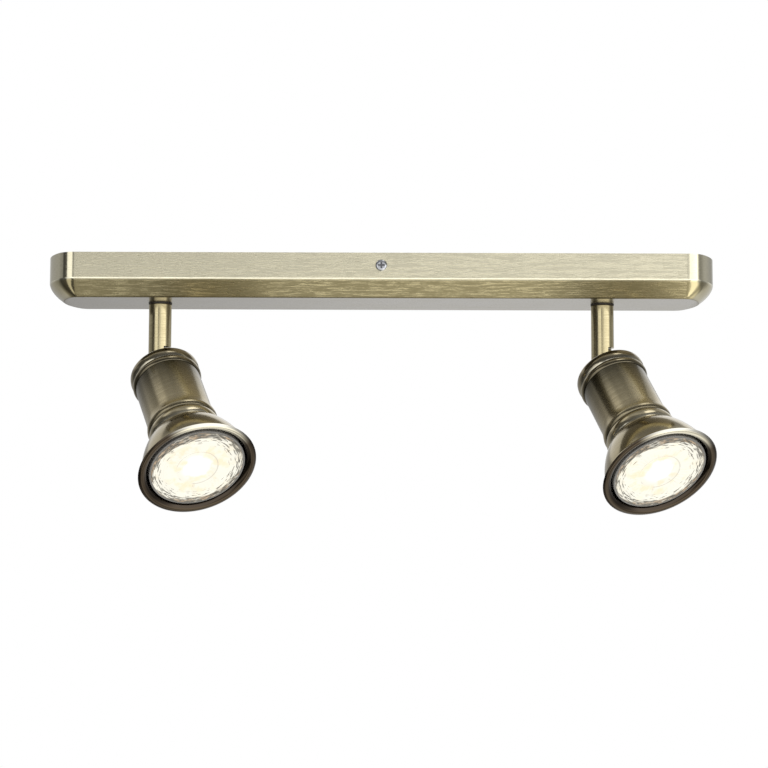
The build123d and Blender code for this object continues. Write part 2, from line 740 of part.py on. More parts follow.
def build_shell(spot):
    """The three turned shells of the head: rear cap, barrel and bell."""
    groove_radius = cap_radius - ring_rise
    ring_end = cap_distance + cap_ring_length
    shoulder_mid = cap_shoulder_radius * sin(radians(45))
    with BuildPart() as rear_cap:
        with BuildSketch(spot.section):
            with BuildLine():
                inner_wall = cap_distance + cap_wall
                shoulder_r = cap_radius - cap_shoulder_radius
                shoulder_t = cap_distance + cap_shoulder_radius
                spigot_end_t = barrel_distance + cap_spigot_length
                Line((spigot_radius + thread_fit, cap_distance), (shoulder_r, cap_distance))
                ThreePointArc(
                    (shoulder_r, cap_distance),
                    (shoulder_r + shoulder_mid, shoulder_t - shoulder_mid),
                    (cap_radius, shoulder_t),
                )
                bulge((cap_radius, shoulder_t), (groove_radius, ring_end), ring_rise / 2)
                bulge((groove_radius, ring_end), (groove_radius, barrel_distance), ring_rise)
                Polyline(
                    (groove_radius, barrel_distance),
                    (spigot_fit_radius, barrel_distance),
                    (spigot_fit_radius, spigot_end_t),
                    (neck_inner_radius, spigot_end_t),
                    (neck_inner_radius, barrel_distance),
                    (cap_inner_radius, barrel_distance - (cap_inner_radius - neck_inner_radius)),
                    (cap_inner_radius, inner_wall),
                    (spigot_radius + thread_fit, inner_wall),
                    (spigot_radius + thread_fit, cap_distance),
                )
            make_face()
        revolve(axis=spot.axis)
    save(rear_cap, f"rear_cap_{spot.name}")

    flank_start = shade_distance - barrel_ring_length - barrel_flank_length
    flank_end = shade_distance - barrel_ring_length
    flank_radius = barrel_radius + barrel_flank_rise
    barrel_groove = flank_radius - ring_rise
    with BuildPart() as barrel:
        with BuildSketch(spot.section):
            with BuildLine():
                Polyline(
                    (barrel_groove, shade_distance),
                    (barrel_inner_radius, shade_distance),
                    (barrel_inner_radius, barrel_distance),
                    (barrel_radius, barrel_distance),
                    (barrel_radius, flank_start),
                    (flank_radius, flank_end),
                )
                bulge((flank_radius, flank_end), (barrel_groove, shade_distance), ring_rise / 2)
            make_face()
        revolve(axis=spot.axis)
    save(barrel, f"barrel_{spot.name}")

    outer = bell_arc(0)
    inner = bell_arc(bell_wall)
    lip_root_r = lip_radius - lip_edge
    lip_corner_t = rim_distance - lip_edge
    flare_r = (bell_end_radius + lip_radius) / 2 - lip_edge / 2
    flare_t = (bell_end_distance + lip_corner_t) / 2 + lip_edge / 2
    spigot_back = shade_distance - neck_spigot_length
    with BuildPart() as shade:
        with BuildSketch(spot.section):
            with BuildLine():
                bulge((barrel_groove, shade_distance), (bell_start_radius, bell_distance), ring_rise)
                ThreePointArc(*outer)
                ThreePointArc(outer[2], (flare_r, flare_t), (lip_radius, lip_corner_t))
                ThreePointArc(
                    (lip_radius, lip_corner_t),
                    (lip_root_r + lip_edge * cos(radians(45)), lip_corner_t + lip_edge * sin(radians(45))),
                    (lip_root_r, rim_distance),
                )
                ThreePointArc(
                    (lip_root_r, rim_distance),
                    (flare_r - bell_wall / 2, flare_t + bell_wall / 2),
                    inner[2],
                )
                ThreePointArc(inner[2], inner[1], inner[0])
                Polyline(
                    inner[0],
                    (neck_inner_radius, bell_distance - neck_wall),
                    (neck_inner_radius, spigot_back),
                    (spigot_fit_radius, spigot_back),
                    (spigot_fit_radius, shade_distance),
                    (barrel_groove, shade_distance),
                )
            make_face()
        revolve(axis=spot.axis)
    save(shade, f"shade_{spot.name}")


def twist_slots(plane, width, amount, mode=Mode.ADD):
    """Adds or cuts one arched slot for each pin, from its locked place to where it comes free."""
    with BuildSketch(plane) as slots:
        for locked in (90, 270):
            SlotArc(Edge.make_circle(pin_spacing / 2, Plane.XY, locked - lamp_twist, locked), width)
    extrude(slots.sketch, amount=amount, mode=mode)


def build_holder(spot):
    """The ceramic lampholder with its twist slots and contacts, and the strap that carries it."""
    face = spot.at(holder_face_distance)
    chamber_width = 2 * (pin_head_radius + pin_gap)
    with BuildPart() as lampholder:
        stack(face, holder_radius, holder_length)
        twist_slots(face, 2 * (pin_neck_radius + pin_gap), holder_face, Mode.SUBTRACT)
        with BuildSketch(face):
            with PolarLocations(pin_spacing / 2, 2, 90 - lamp_twist):
                Circle(pin_head_radius + pin_gap)
        extrude(amount=holder_face, mode=Mode.SUBTRACT)
        twist_slots(face.offset(holder_face), chamber_width, holder_chamber_depth, Mode.SUBTRACT)
        with BuildSketch(face):
            with PolarLocations(pin_spacing / 2, 2, 90):
                Circle(contact_tail_radius + push_fit)
        extrude(amount=holder_length, mode=Mode.SUBTRACT)
        with BuildSketch(face):
            with GridLocations(2 * holder_screw_offset, 0, 2, 1):
                Circle(holder_screw_radius + thread_fit)
        extrude(amount=holder_length, mode=Mode.SUBTRACT)
        with BuildSketch(face):
            with GridLocations(2 * holder_screw_offset, 0, 2, 1):
                Circle(holder_screw_head_radius + holder_screw_gap)
        extrude(amount=holder_screw_head_height + holder_screw_gap, mode=Mode.SUBTRACT)
    save(lampholder, f"lampholder_{spot.name}")

    leaf = spot.at(chamber_distance + contact_thickness)
    with BuildPart() as holder_contacts:
        twist_slots(leaf, chamber_width - 2 * push_fit, contact_thickness)
        with BuildSketch(spot.at(chamber_distance)):
            with PolarLocations(pin_spacing / 2, 2, 90):
                Circle(contact_tail_radius)
        extrude(amount=chamber_distance - holder_back_distance + contact_tail_length)
    save(holder_contacts, f"holder_contacts_{spot.name}")

    with BuildPart() as holder_bracket:
        with BuildSketch(Plane(spot.pivot.origin, x_dir=spot.head.x_dir, z_dir=spot.head.y_dir)):
            with BuildLine():
                Polyline(
                    (-strap_reach, strap_distance),
                    (strap_reach, strap_distance),
                    (strap_reach, holder_back_distance),
                    (strap_foot, holder_back_distance),
                    (strap_foot, strap_foot_distance),
                    (strap_reach - strap_sheet, strap_foot_distance),
                    (strap_reach - strap_sheet, lug_nut_distance),
                    (strap_sheet - strap_reach, lug_nut_distance),
                    (strap_sheet - strap_reach, strap_foot_distance),
                    (-strap_foot, strap_foot_distance),
                    (-strap_foot, holder_back_distance),
                    (-strap_reach, holder_back_distance),
                    close=True,
                )
            make_face()
        extrude(amount=strap_width / 2, both=True)
        stack(spot.at(lug_nut_distance), spigot_radius + thread_fit, strap_sheet, Mode.SUBTRACT)
        with BuildSketch(spot.at(holder_back_distance)):
            with GridLocations(2 * holder_screw_offset, 0, 2, 1):
                Circle(holder_screw_radius + thread_fit)
        extrude(amount=strap_sheet, mode=Mode.SUBTRACT)
    save(holder_bracket, f"holder_bracket_{spot.name}")

    seat = face.offset(holder_screw_head_height + holder_screw_gap)
    with BuildPart() as holder_screws:
        with BuildSketch(seat):
            with GridLocations(2 * holder_screw_offset, 0, 2, 1):
                Circle(holder_screw_head_radius)
        extrude(amount=-holder_screw_head_height)
        with BuildSketch(seat):
            with GridLocations(2 * holder_screw_offset, 0, 2, 1):
                Circle(holder_screw_radius)
        extrude(amount=holder_length - holder_screw_head_height - holder_screw_gap + strap_sheet)
    save(holder_screws, f"holder_screws_{spot.name}")


def build_lamp(spot):
    """The lamp: a flared housing with a light well, its chip, its lens and its two pins."""
    rim_back = lamp_face_distance - lamp_rim_length
    lens_back = lamp_face_distance - lens_thickness
    well_radius = lamp_rim_radius - lamp_wall
    lens_radius = well_radius - lens_gap
    led_seat_radius = led_radius + lens_gap
    led_front = led_distance + led_thickness
    with BuildPart() as lamp_body:
        with BuildSketch(spot.section):
            with BuildLine():
                Polyline(
                    (0, led_distance),
                    (0, lamp_base_distance),
                    (lamp_base_radius, lamp_base_distance),
                    (lamp_base_radius, bell_distance),
                )
                bulge((lamp_base_radius, bell_distance), (lamp_rim_radius, rim_back), lamp_flare_rise)
                Polyline(
                    (lamp_rim_radius, rim_back),
                    (lamp_rim_radius, lamp_face_distance),
                    (well_radius, lamp_face_distance),
                    (well_radius, lens_back),
                    (well_radius - lamp_wall, lens_back),
                    (led_seat_radius, led_front),
                    (led_seat_radius, led_distance),
                    (0, led_distance),
                )
            make_face()
        revolve(axis=spot.axis)
        with BuildSketch(spot.at(lamp_base_distance)):
            with PolarLocations(pin_spacing / 2, 2, 90):
                Circle(pin_neck_radius + push_fit)
        extrude(amount=-pin_neck_length, mode=Mode.SUBTRACT)
    save(lamp_body, f"lamp_body_{spot.name}")

    with BuildPart() as lamp_led:
        stack(spot.at(led_front), led_radius, led_thickness)
    save(lamp_led, f"lamp_led_{spot.name}")

    with BuildPart() as lamp_lens:
        with BuildSketch(spot.section):
            with BuildLine():
                Polyline(
                    (0, lamp_face_distance),
                    (lens_radius, lamp_face_distance),
                    (lens_radius, lens_back),
                    (lens_cone_front_radius, lens_back),
                    (lens_cone_back_radius, led_front + lens_gap),
                    (0, led_front + lens_gap),
                    close=True,
                )
            make_face()
        revolve(axis=spot.axis)
    save(lamp_lens, f"lamp_lens_{spot.name}")

    head_end = lamp_base_distance - pin_neck_length
    with BuildPart() as lamp_pins:
        with BuildSketch(spot.at(lamp_base_distance + pin_neck_length)):
            with PolarLocations(pin_spacing / 2, 2, 90):
                Circle(pin_neck_radius)
        extrude(amount=2 * pin_neck_length)
        with BuildSketch(spot.at(head_end)):
            with PolarLocations(pin_spacing / 2, 2, 90):
                Circle(pin_head_radius)
        extrude(amount=pin_head_length)
    save(lamp_pins, f"lamp_pins_{spot.name}")


os.makedirs("parts", exist_ok=True)
build_bar_cover()
build_mounting_bracket()
build_cover_screws()
build_terminals()
build_earth_screw()
build_bar_leads()
for spot in spots:
    build_stop_plate(spot)
    build_stem(spot)
    build_stem_fixings(spot)
    build_knuckle(spot)
    build_shell(spot)
    build_holder(spot)
    build_lamp(spot)
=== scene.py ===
"""Twin spotlight: smooth surfaces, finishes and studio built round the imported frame.

Sizes of the pieces are millimetres, as in the part's source, and MM turns them into metres. Finishes and the studio
are in metres.
"""

import json
import logging
import math
from dataclasses import dataclass, field, replace
from enum import Enum
from typing import Sequence

import bmesh
import bpy
import numpy as np
from mathutils import Matrix, Vector
from mathutils.geometry import tessellate_polygon


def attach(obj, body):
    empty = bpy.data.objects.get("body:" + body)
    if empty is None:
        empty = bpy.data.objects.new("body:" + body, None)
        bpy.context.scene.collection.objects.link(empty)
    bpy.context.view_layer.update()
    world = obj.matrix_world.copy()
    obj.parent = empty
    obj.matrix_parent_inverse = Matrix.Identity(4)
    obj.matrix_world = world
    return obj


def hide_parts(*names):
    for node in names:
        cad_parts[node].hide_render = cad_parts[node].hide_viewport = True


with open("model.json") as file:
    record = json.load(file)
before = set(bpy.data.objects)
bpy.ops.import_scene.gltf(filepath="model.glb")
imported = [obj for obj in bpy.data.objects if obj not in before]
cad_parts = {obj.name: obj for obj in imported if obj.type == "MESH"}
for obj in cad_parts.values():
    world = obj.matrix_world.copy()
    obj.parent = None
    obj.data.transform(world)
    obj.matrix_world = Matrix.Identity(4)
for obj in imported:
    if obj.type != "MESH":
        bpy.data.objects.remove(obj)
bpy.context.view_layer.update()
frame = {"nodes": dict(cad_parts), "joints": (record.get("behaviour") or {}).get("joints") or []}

MM = 0.001
WELD = 1e-7  # points of a mesh that are nearer than this, in metres, become one
REPEAT = 1e-6  # points of a run that are nearer than this, in millimetres, are dropped
RELIEF_DEPTH = 0.0001  # of the fine reliefs, in metres
UV_NAME = "SurfaceMap"
# map of the lighter marks (rubbed wear with painted highlights) and the darker marks (mostly painted shade)
MARKS_NAME = "WearAndLightMap"
Point = tuple[float, float]
Place = tuple[float, float, float]
Colour = tuple[float, float, float]
Socket = bpy.types.NodeSocket
Value = Socket | float
Inputs = dict[str | int, object]
log = logging.getLogger("twin_spotlight")


class Side(Enum):
    """Which of the two spots a piece belongs to."""

    LEFT = "left"
    RIGHT = "right"


def placed(name: str, data: bpy.types.ID) -> bpy.types.Object:
    """Makes an object and puts it in the scene.

    Args:
        name: of the object.
        data: its mesh, camera or light.

    Returns:
        The object, at the origin.
    """
    made = bpy.data.objects.new(name, data)
    bpy.context.scene.collection.objects.link(made)
    return made


def straight(*points: Point) -> np.ndarray:
    """A run of straight lines.

    Args:
        points: the corners, in order.

    Returns:
        The corners as an array of rows.
    """
    return np.array(points, float)


def arc_through(start: Point, middle: Point, end: Point, steps: int = 18) -> np.ndarray:
    """An arc through three points: centre + radius * (cos a, sin a), with a even from start to end.

    Args:
        start: where the arc begins.
        middle: any point on it between the ends.
        end: where it ends.
        steps: how many chords it is cut into.

    Returns:
        steps + 1 rows of points.
    """
    a, b, c = (np.array(p, float) for p in (start, middle, end))
    lhs = 2 * np.array([b - a, c - a])
    rhs = np.array([b @ b - a @ a, c @ c - a @ a])
    centre = np.linalg.solve(lhs, rhs)
    first, through, last = (math.atan2(*(p - centre)[::-1]) for p in (a, b, c))
    forward = (last - first) % math.tau
    if (through - first) % math.tau > forward:
        forward -= math.tau
    angles = first + forward * np.linspace(0, 1, steps + 1)
    radius = np.linalg.norm(a - centre)
    return centre + radius * np.stack([np.cos(angles), np.sin(angles)], axis=-1)


def bulge(start: Point, end: Point, rise: float, steps: int = 18) -> np.ndarray:
    """An arc whose middle stands outside the line from start to end by a rise along the radius.

    Args:
        start: where the arc begins.
        end: where it ends.
        rise: how far its middle stands out.
        steps: how many chords it is cut into.

    Returns:
        steps + 1 rows of points.
    """
    middle = ((start[0] + end[0]) / 2 + rise, (start[1] + end[1]) / 2)
    return arc_through(start, middle, end, steps)


def rounded(corners: np.ndarray, radius: float, steps: int = 10) -> np.ndarray:
    """A run of lines whose inner corners are rounded by tangent arcs.

    Each corner is replaced by an arc of the radius that starts and ends radius * tan(turn / 2) from it.

    Args:
        corners: the run's corners.
        radius: of each arc.
        steps: chords in each arc.

    Returns:
        The rounded run.
    """
    runs = [corners[:1]]
    for before, corner, after in zip(corners, corners[1:], corners[2:]):
        arrive = (corner - before) / np.linalg.norm(corner - before)
        leave = (after - corner) / np.linalg.norm(after - corner)
        turn = math.acos(float(np.clip(arrive @ leave, -1, 1)))
        reach = radius * math.tan(turn / 2)
        inward = (leave - arrive) / np.linalg.norm(leave - arrive)
        middle = corner + inward * (math.hypot(radius, reach) - radius)
        runs.append(arc_through(corner - arrive * reach, middle, corner + leave * reach, steps))
    return chain(*runs, corners[-1:])


def chain(*runs: np.ndarray) -> np.ndarray:
    """Joins runs of points end to end and drops points that repeat.

    Args:
        runs: the runs, in order.

    Returns:
        One run.
    """
    joined = np.concatenate(runs)
    step = np.linalg.norm(np.diff(joined, axis=0), axis=1)
    return joined[np.concatenate([[True], step > REPEAT])]


def along(points: np.ndarray) -> np.ndarray:
    """Distance travelled at each point of a run."""
    return np.concatenate([[0.0], np.cumsum(np.linalg.norm(np.diff(points, axis=0), axis=1))])


def ring_quads(rows: int, columns: int) -> np.ndarray:
    """Quads of a grid whose columns close into a ring.

    Args:
        rows: points along the profile.
        columns: points round the ring.

    Returns:
        One row of four indices for each quad.
    """
    row = np.arange(rows - 1)[:, None] * columns
    here = np.arange(columns)[None, :]
    after = (here + 1) % columns
    return np.stack([row + here, row + after, row + columns + after, row + columns + here], -1).reshape(-1, 4)


def ring_map(rows: np.ndarray, columns: np.ndarray) -> np.ndarray:
    """Surface coordinates of the corners of ring_quads.

    Args:
        rows: the second coordinate of each row.
        columns: the first coordinate of each column, with one more that closes the ring.

    Returns:
        One pair for each quad's corner.
    """
    low, high = np.meshgrid(rows[:-1], columns[:-1], indexing="ij")
    far_low, far_high = np.meshgrid(rows[1:], columns[1:], indexing="ij")
    corners = [(high, low), (far_high, low), (far_high, far_low), (high, far_low)]
    return np.stack([np.stack(pair, -1) for pair in corners], axis=2).reshape(-1, 2)


@dataclass
class Skin:
    """A mesh in the making: points, faces and surface coordinates, collected from several grids."""

    points: list[np.ndarray] = field(default_factory=list)
    faces: list[list[int]] = field(default_factory=list)
    maps: list[np.ndarray] = field(default_factory=list)
    marks: list[np.ndarray] = field(default_factory=list)

    def add(
        self, points: np.ndarray, faces: np.ndarray, surface_map: np.ndarray, wear_and_light: np.ndarray | None = None
    ) -> int:
        """Adds a grid.

        Args:
            points: rows of x, y, z in metres.
            faces: rows of indices into the points.
            surface_map: one pair for each corner of each face.
            wear_and_light: how much lighter and how much darker each corner of each face is made, both from 0 to 1:
                rubbed wear with painted highlights, and mostly painted shade.

        Returns:
            The index of the first point that was added.
        """
        start = sum(len(p) for p in self.points)
        self.points.append(points)
        self.cover(faces + start, surface_map, wear_and_light)
        return start

    def cover(self, faces: np.ndarray, surface_map: np.ndarray, wear_and_light: np.ndarray | None = None) -> None:
        """Adds faces between points that are there already.

        Args:
            faces: rows of indices into all the points.
            surface_map: one pair for each corner of each face.
            wear_and_light: how much lighter and how much darker each corner of each face is made, both from 0 to 1:
                rubbed wear with painted highlights, and mostly painted shade.
        """
        self.faces += faces.tolist()
        self.maps.append(surface_map)
        self.marks.append(np.zeros_like(surface_map) if wear_and_light is None else wear_and_light)

    def piece(self, name: str, sharp_degrees: float = 34.0) -> bpy.types.Object:
        """Makes the object: welded, faces outwards, smooth between its sharp edges.

        Args:
            name: of the object.
            sharp_degrees: edges that turn more than this stay sharp.

        Returns:
            The object, at the origin.
        """
        mesh = bpy.data.meshes.new(name)
        mesh.from_pydata(np.concatenate(self.points).tolist(), [], self.faces)
        for layer_name, pairs in ((UV_NAME, self.maps), (MARKS_NAME, self.marks)):
            layer = mesh.uv_layers.new(name=layer_name)
            layer.data.foreach_set("uv", np.concatenate(pairs).astype(np.float32).ravel())
        work = bmesh.new()
        work.from_mesh(mesh)
        bmesh.ops.remove_doubles(work, verts=work.verts, dist=WELD)
        bmesh.ops.dissolve_degenerate(work, edges=work.edges, dist=WELD)
        bmesh.ops.recalc_face_normals(work, faces=work.faces)
        work.to_mesh(mesh)
        work.free()
        mesh.polygons.foreach_set("use_smooth", np.ones(len(mesh.polygons), bool))
        mesh.set_sharp_from_angle(angle=math.radians(sharp_degrees))
        made = placed(name, mesh)
        even = made.modifiers.new("even_normals", "WEIGHTED_NORMAL")
        even.keep_sharp = True
        return made


@dataclass(frozen=True)
class SpotAxes:
    """Where one spot stands: the point on its tilt axis and the directions of its stem and head."""

    side: Side
    pivot: np.ndarray
    tilt: np.ndarray  # along the tilt axis, to the right of the head
    aim: np.ndarray  # from the tilt axis towards the lamp

    @classmethod
    def of(cls, side: Side) -> "SpotAxes":
        """Reads a spot's axes from the frame's joints.

        Args:
            side: which spot.

        Returns:
            Its axes.
        """
        joints = {joint["name"]: joint for joint in frame["joints"]}
        tilt = joints[f"tilt_{side.value}"]
        aim = np.array(joints[f"lamp_twist_{side.value}"]["axis"], float)
        return cls(side, np.array(tilt["pos_m"], float), -np.array(tilt["axis"], float), aim)

    def node(self, name: str) -> str:
        """The name of this spot's own node."""
        return f"{name}_{self.side.value}"

    def turned(self, profile: np.ndarray, steps: int, lift: np.ndarray | None = None) -> np.ndarray:
        """Points of a turned shape: pivot + t * aim + r * (cos a * tilt + sin a * across).

        Args:
            profile: rows of radius r and distance t, in millimetres.
            steps: points round the axis.
            lift: what is added to t at each row and step, in millimetres.

        Returns:
            Rows of x, y, z in metres, ring by ring.
        """
        across = np.cross(self.aim, self.tilt)
        angles = np.arange(steps) * math.tau / steps
        spoke = np.cos(angles)[:, None] * self.tilt + np.sin(angles)[:, None] * across
        distance = np.repeat(profile[:, 1:], steps, axis=1) + (0 if lift is None else lift)
        points = profile[:, :1, None] * spoke[None] + distance[..., None] * self.aim
        return self.pivot + MM * points.reshape(-1, 3)


def ring_wear_and_light(rub_and_highlight: np.ndarray, dirt_and_shade: np.ndarray, steps: int) -> np.ndarray:
    """Marks of wear and painted light on a ring grid, the same all the way round.

    Args:
        rub_and_highlight: how much rubbed wear and painted highlight each row gets, from 0 to 1.
        dirt_and_shade: how much darker each row is made, from 0 to 1.
        steps: points round the ring.

    Returns:
        One pair, the lighter and the darker mark, for each corner of each face.
    """
    level = np.zeros(steps + 1)
    return np.stack([ring_map(mark, level)[:, 1] for mark in (rub_and_highlight, dirt_and_shade)], -1)


def turned_wear_and_light(profile: np.ndarray, steps: int, reach: float = 0.7, least: float = 0.3) -> np.ndarray:
    """Marks of a turned shape: painted shade in its hollow corners, and rubbed wear with a painted highlight on its
    proud ones.

    A corner is hollow where the profile turns left and proud where it turns right, by more than the least turn, and
    its mark fades as exp(-distance / reach).

    Args:
        profile: a run of radius and distance, clockwise round the metal, in millimetres.
        steps: points round the axis.
        reach: how far a mark spreads, in millimetres.
        least: the smallest turn that counts, in radians.

    Returns:
        One pair, the lighter and the darker mark, for each corner of each face.
    """
    run = np.diff(profile, axis=0)
    heading = np.arctan2(run[:, 1], run[:, 0])
    turn = np.concatenate([[0.0], (np.diff(heading) + math.pi) % math.tau - math.pi, [0.0]])
    travel = along(profile)
    near = np.exp(-np.abs(travel[:, None] - travel[None]) / reach)
    # rubbed wear with a painted highlight on proud corners
    rub_and_highlight = (near * (turn < -least)).max(axis=1)
    # painted shade in hollow corners
    dirt_and_shade = (near * (turn > least)).max(axis=1)
    return ring_wear_and_light(rub_and_highlight, dirt_and_shade, steps)


def lathe(axes: SpotAxes, name: str, profile: np.ndarray, steps: int = 168) -> bpy.types.Object:
    """A turned piece of a head.

    Args:
        axes: of the spot.
        name: of the piece's node.
        profile: a closed run of radius and distance, in millimetres.
        steps: points round the axis.

    Returns:
        The object. Its surface coordinates are metres round the axis and metres along the profile.
    """
    skin = Skin()
    widest = profile[:, 0].max()
    columns = np.linspace(0, math.tau * widest * MM, steps + 1)
    surface_map = ring_map(along(profile) * MM, columns)
    skin.add(axes.turned(profile, steps), ring_quads(len(profile), steps), surface_map, turned_wear_and_light(profile, steps))
    return skin.piece(f"{axes.node(name)}_surface")


class Tree:
    """A thin helper that adds nodes to a node tree and links them."""

    def __init__(self, tree: bpy.types.NodeTree) -> None:
        """Keeps the tree."""
        self.tree = tree

    def fill(self, node: bpy.types.Node, inputs: Inputs) -> None:
        """Sets or links a node's inputs.

        Args:
            node: whose inputs are filled.
            inputs: values or sockets, by name or number. A colour has three parts, and gets a full alpha.
        """
        for key, value in inputs.items():
            socket = node.inputs[key]
            if isinstance(value, Socket):
                self.tree.links.new(value, socket)
            else:
                socket.default_value = (*value, 1.0) if socket.type == "RGBA" else value

    def add(self, kind: str, inputs: Inputs | None = None, **settings: object) -> bpy.types.Node:
        """Adds a node.

        Args:
            kind: the node's type.
            inputs: values or sockets for its inputs, by name or number.
            settings: the node's own properties.

        Returns:
            The node.
        """
        node = self.tree.nodes.new(kind)
        for key, value in settings.items():
            setattr(node, key, value)
        self.fill(node, inputs or {})
        return node

    def group(self, kind: "Group", inputs: Inputs) -> bpy.types.bpy_prop_collection:
        """Adds a shared group with its own values, and gives its outputs."""
        return self.add("ShaderNodeGroup", inputs, node_tree=shared_group(kind)).outputs

    def place(self) -> Socket:
        """Coordinates of the object."""
        return self.add("ShaderNodeTexCoord").outputs["Object"]

    def surface(self, name: str = UV_NAME) -> Socket:
        """Coordinates that one of the piece's maps holds."""
        return self.add("ShaderNodeUVMap", uv_map=name).outputs[0]

    def parts(self, vector: Socket) -> bpy.types.bpy_prop_collection:
        """The three parts of a vector."""
        return self.add("ShaderNodeSeparateXYZ", {0: vector}).outputs

    def noise(self, place: Socket, scale: Value, detail: float) -> Socket:
        """A soft noise between 0 and 1.

        Args:
            place: where it is read.
            scale: how fine it is.
            detail: how many finer noises are laid over it.

        Returns:
            The noise.
        """
        return self.add("ShaderNodeTexNoise", {"Vector": place, "Scale": scale, "Detail": detail}).outputs[0]

    def relief(self, height: Socket, strength: float) -> Socket:
        """The normal of a fine relief that follows a height."""
        inputs = {"Strength": strength, "Distance": RELIEF_DEPTH, "Height": height}
        return self.add("ShaderNodeBump", inputs).outputs[0]

    def math(self, operation: str, *values: Value) -> Socket:
        """Adds a Math node.

        Args:
            operation: its operation.
            values: its inputs.

        Returns:
            Its output.
        """
        return self.add("ShaderNodeMath", dict(enumerate(values)), operation=operation).outputs[0]

    def times(self, product: Value, *factors: Value) -> Socket:
        """The product of two or more values.

        Args:
            product: the first value.
            factors: the others.

        Returns:
            The product.
        """
        for factor in factors:
            product = self.math("MULTIPLY", product, factor)
        return product

    def step(self, value: Value, low: float, high: float, first: float = 0.0, last: float = 1.0) -> Socket:
        """A smooth step.

        Args:
            value: what is mapped.
            low: where the step starts.
            high: where it ends.
            first: the result below the step.
            last: the result above it.

        Returns:
            The mapped value.
        """
        ends = {"Value": value, "From Min": low, "From Max": high, "To Min": first, "To Max": last}
        return self.add("ShaderNodeMapRange", ends, interpolation_type="SMOOTHSTEP").outputs[0]

    def mix(self, factor: Value, first: Socket | Colour, second: Socket | Colour) -> Socket:
        """Mixes two colours.

        Args:
            factor: the second's share.
            first: a colour or socket.
            second: a colour or socket.

        Returns:
            The mixed colour.
        """
        return self.add("ShaderNodeMix", {0: factor, 6: first, 7: second}, data_type="RGBA").outputs[2]


class Group(Enum):
    """The effects that several finishes share, each a node group that is built once."""

    STREAKS = "metal_streaks"
    PATINA = "metal_patina"


GROUP_INPUTS = {
    Group.STREAKS: {"Lines per metre": 1400.0, "Stretch": 26.0},
    Group.PATINA: {"Blotch size": 0.02, "Speck size": 0.0012},
}
STREAK_NOISES = ((0.45, 3.0), (2.1, 2.0))  # scale and detail of the coarse and the fine noise
STREAK_SHARES = (0.62, 0.38)
STREAK_STEP = (0.36, 0.64)
BLOTCH_DETAIL, BLOTCH_STEP = 4.0, (0.34, 0.66)
SPECK_DETAIL, SPECK_STEP = 1.0, (0.56, 0.72)


def shared_group(kind: Group) -> bpy.types.NodeTree:
    """Gives a shared node group, and builds it the first time.

    STREAKS draws fine lines along the first surface coordinate: two noises whose second coordinate is scaled up,
    so that they are long one way and thin the other. PATINA draws soft blotches and small specks.

    Args:
        kind: which group.

    Returns:
        The group.
    """
    if kind.value in bpy.data.node_groups:
        return bpy.data.node_groups[kind.value]
    group = bpy.data.node_groups.new(kind.value, "ShaderNodeTree")
    face = group.interface
    face.new_socket("Position", in_out="INPUT", socket_type="NodeSocketVector")
    for name, value in GROUP_INPUTS[kind].items():
        face.new_socket(name, in_out="INPUT", socket_type="NodeSocketFloat").default_value = value
    tree = Tree(group)
    inlet = group.nodes.new("NodeGroupInput").outputs
    place = inlet["Position"]
    first, second = (inlet[name] for name in GROUP_INPUTS[kind])
    if kind is Group.STREAKS:
        slow = tree.math("DIVIDE", first, second)
        scale = tree.add("ShaderNodeCombineXYZ", {0: slow, 1: first, 2: first}).outputs[0]
        spread = tree.add("ShaderNodeVectorMath", {0: place, 1: scale}, operation="MULTIPLY").outputs[0]
        noises = [tree.noise(spread, *settings) for settings in STREAK_NOISES]
        mask = tree.math("ADD", *(tree.times(noise, share) for noise, share in zip(noises, STREAK_SHARES)))
        results = {"Mask": tree.step(mask, *STREAK_STEP), "Height": noises[1]}
    else:
        blotch = tree.noise(place, tree.math("DIVIDE", 1.0, first), BLOTCH_DETAIL)
        speck = tree.noise(place, tree.math("DIVIDE", 1.0, second), SPECK_DETAIL)
        results = {"Blotch": tree.step(blotch, *BLOTCH_STEP), "Speck": tree.step(speck, *SPECK_STEP)}
    for name in results:
        face.new_socket(name, in_out="OUTPUT", socket_type="NodeSocketFloat")
    tree.fill(group.nodes.new("NodeGroupOutput"), results)
    return group


@dataclass(frozen=True)
class Finish:
    """A finish: its name and how it is put on a piece."""

    name: str

    def material(self) -> bpy.types.Material:
        """Gives the finish's material, and builds it the first time.

        Returns:
            The material.
        """
        found = bpy.data.materials.get(self.name)
        if found is None:
            found = bpy.data.materials.new(self.name)
            found.use_nodes = True
            self.build(Tree(found.node_tree), found.node_tree.nodes["Principled BSDF"])
        return found

    def build(self, tree: Tree, shader: bpy.types.Node) -> None:
        """Fills the material's tree.

        Args:
            tree: the material's nodes.
            shader: its Principled BSDF.
        """
        raise NotImplementedError

    def put_on(self, piece: bpy.types.Object) -> None:
        """Gives a piece this finish and nothing else.

        Args:
            piece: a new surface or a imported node.
        """
        if not piece.material_slots:
            piece.data.materials.append(None)
        for slot in piece.material_slots:
            slot.material = self.material()


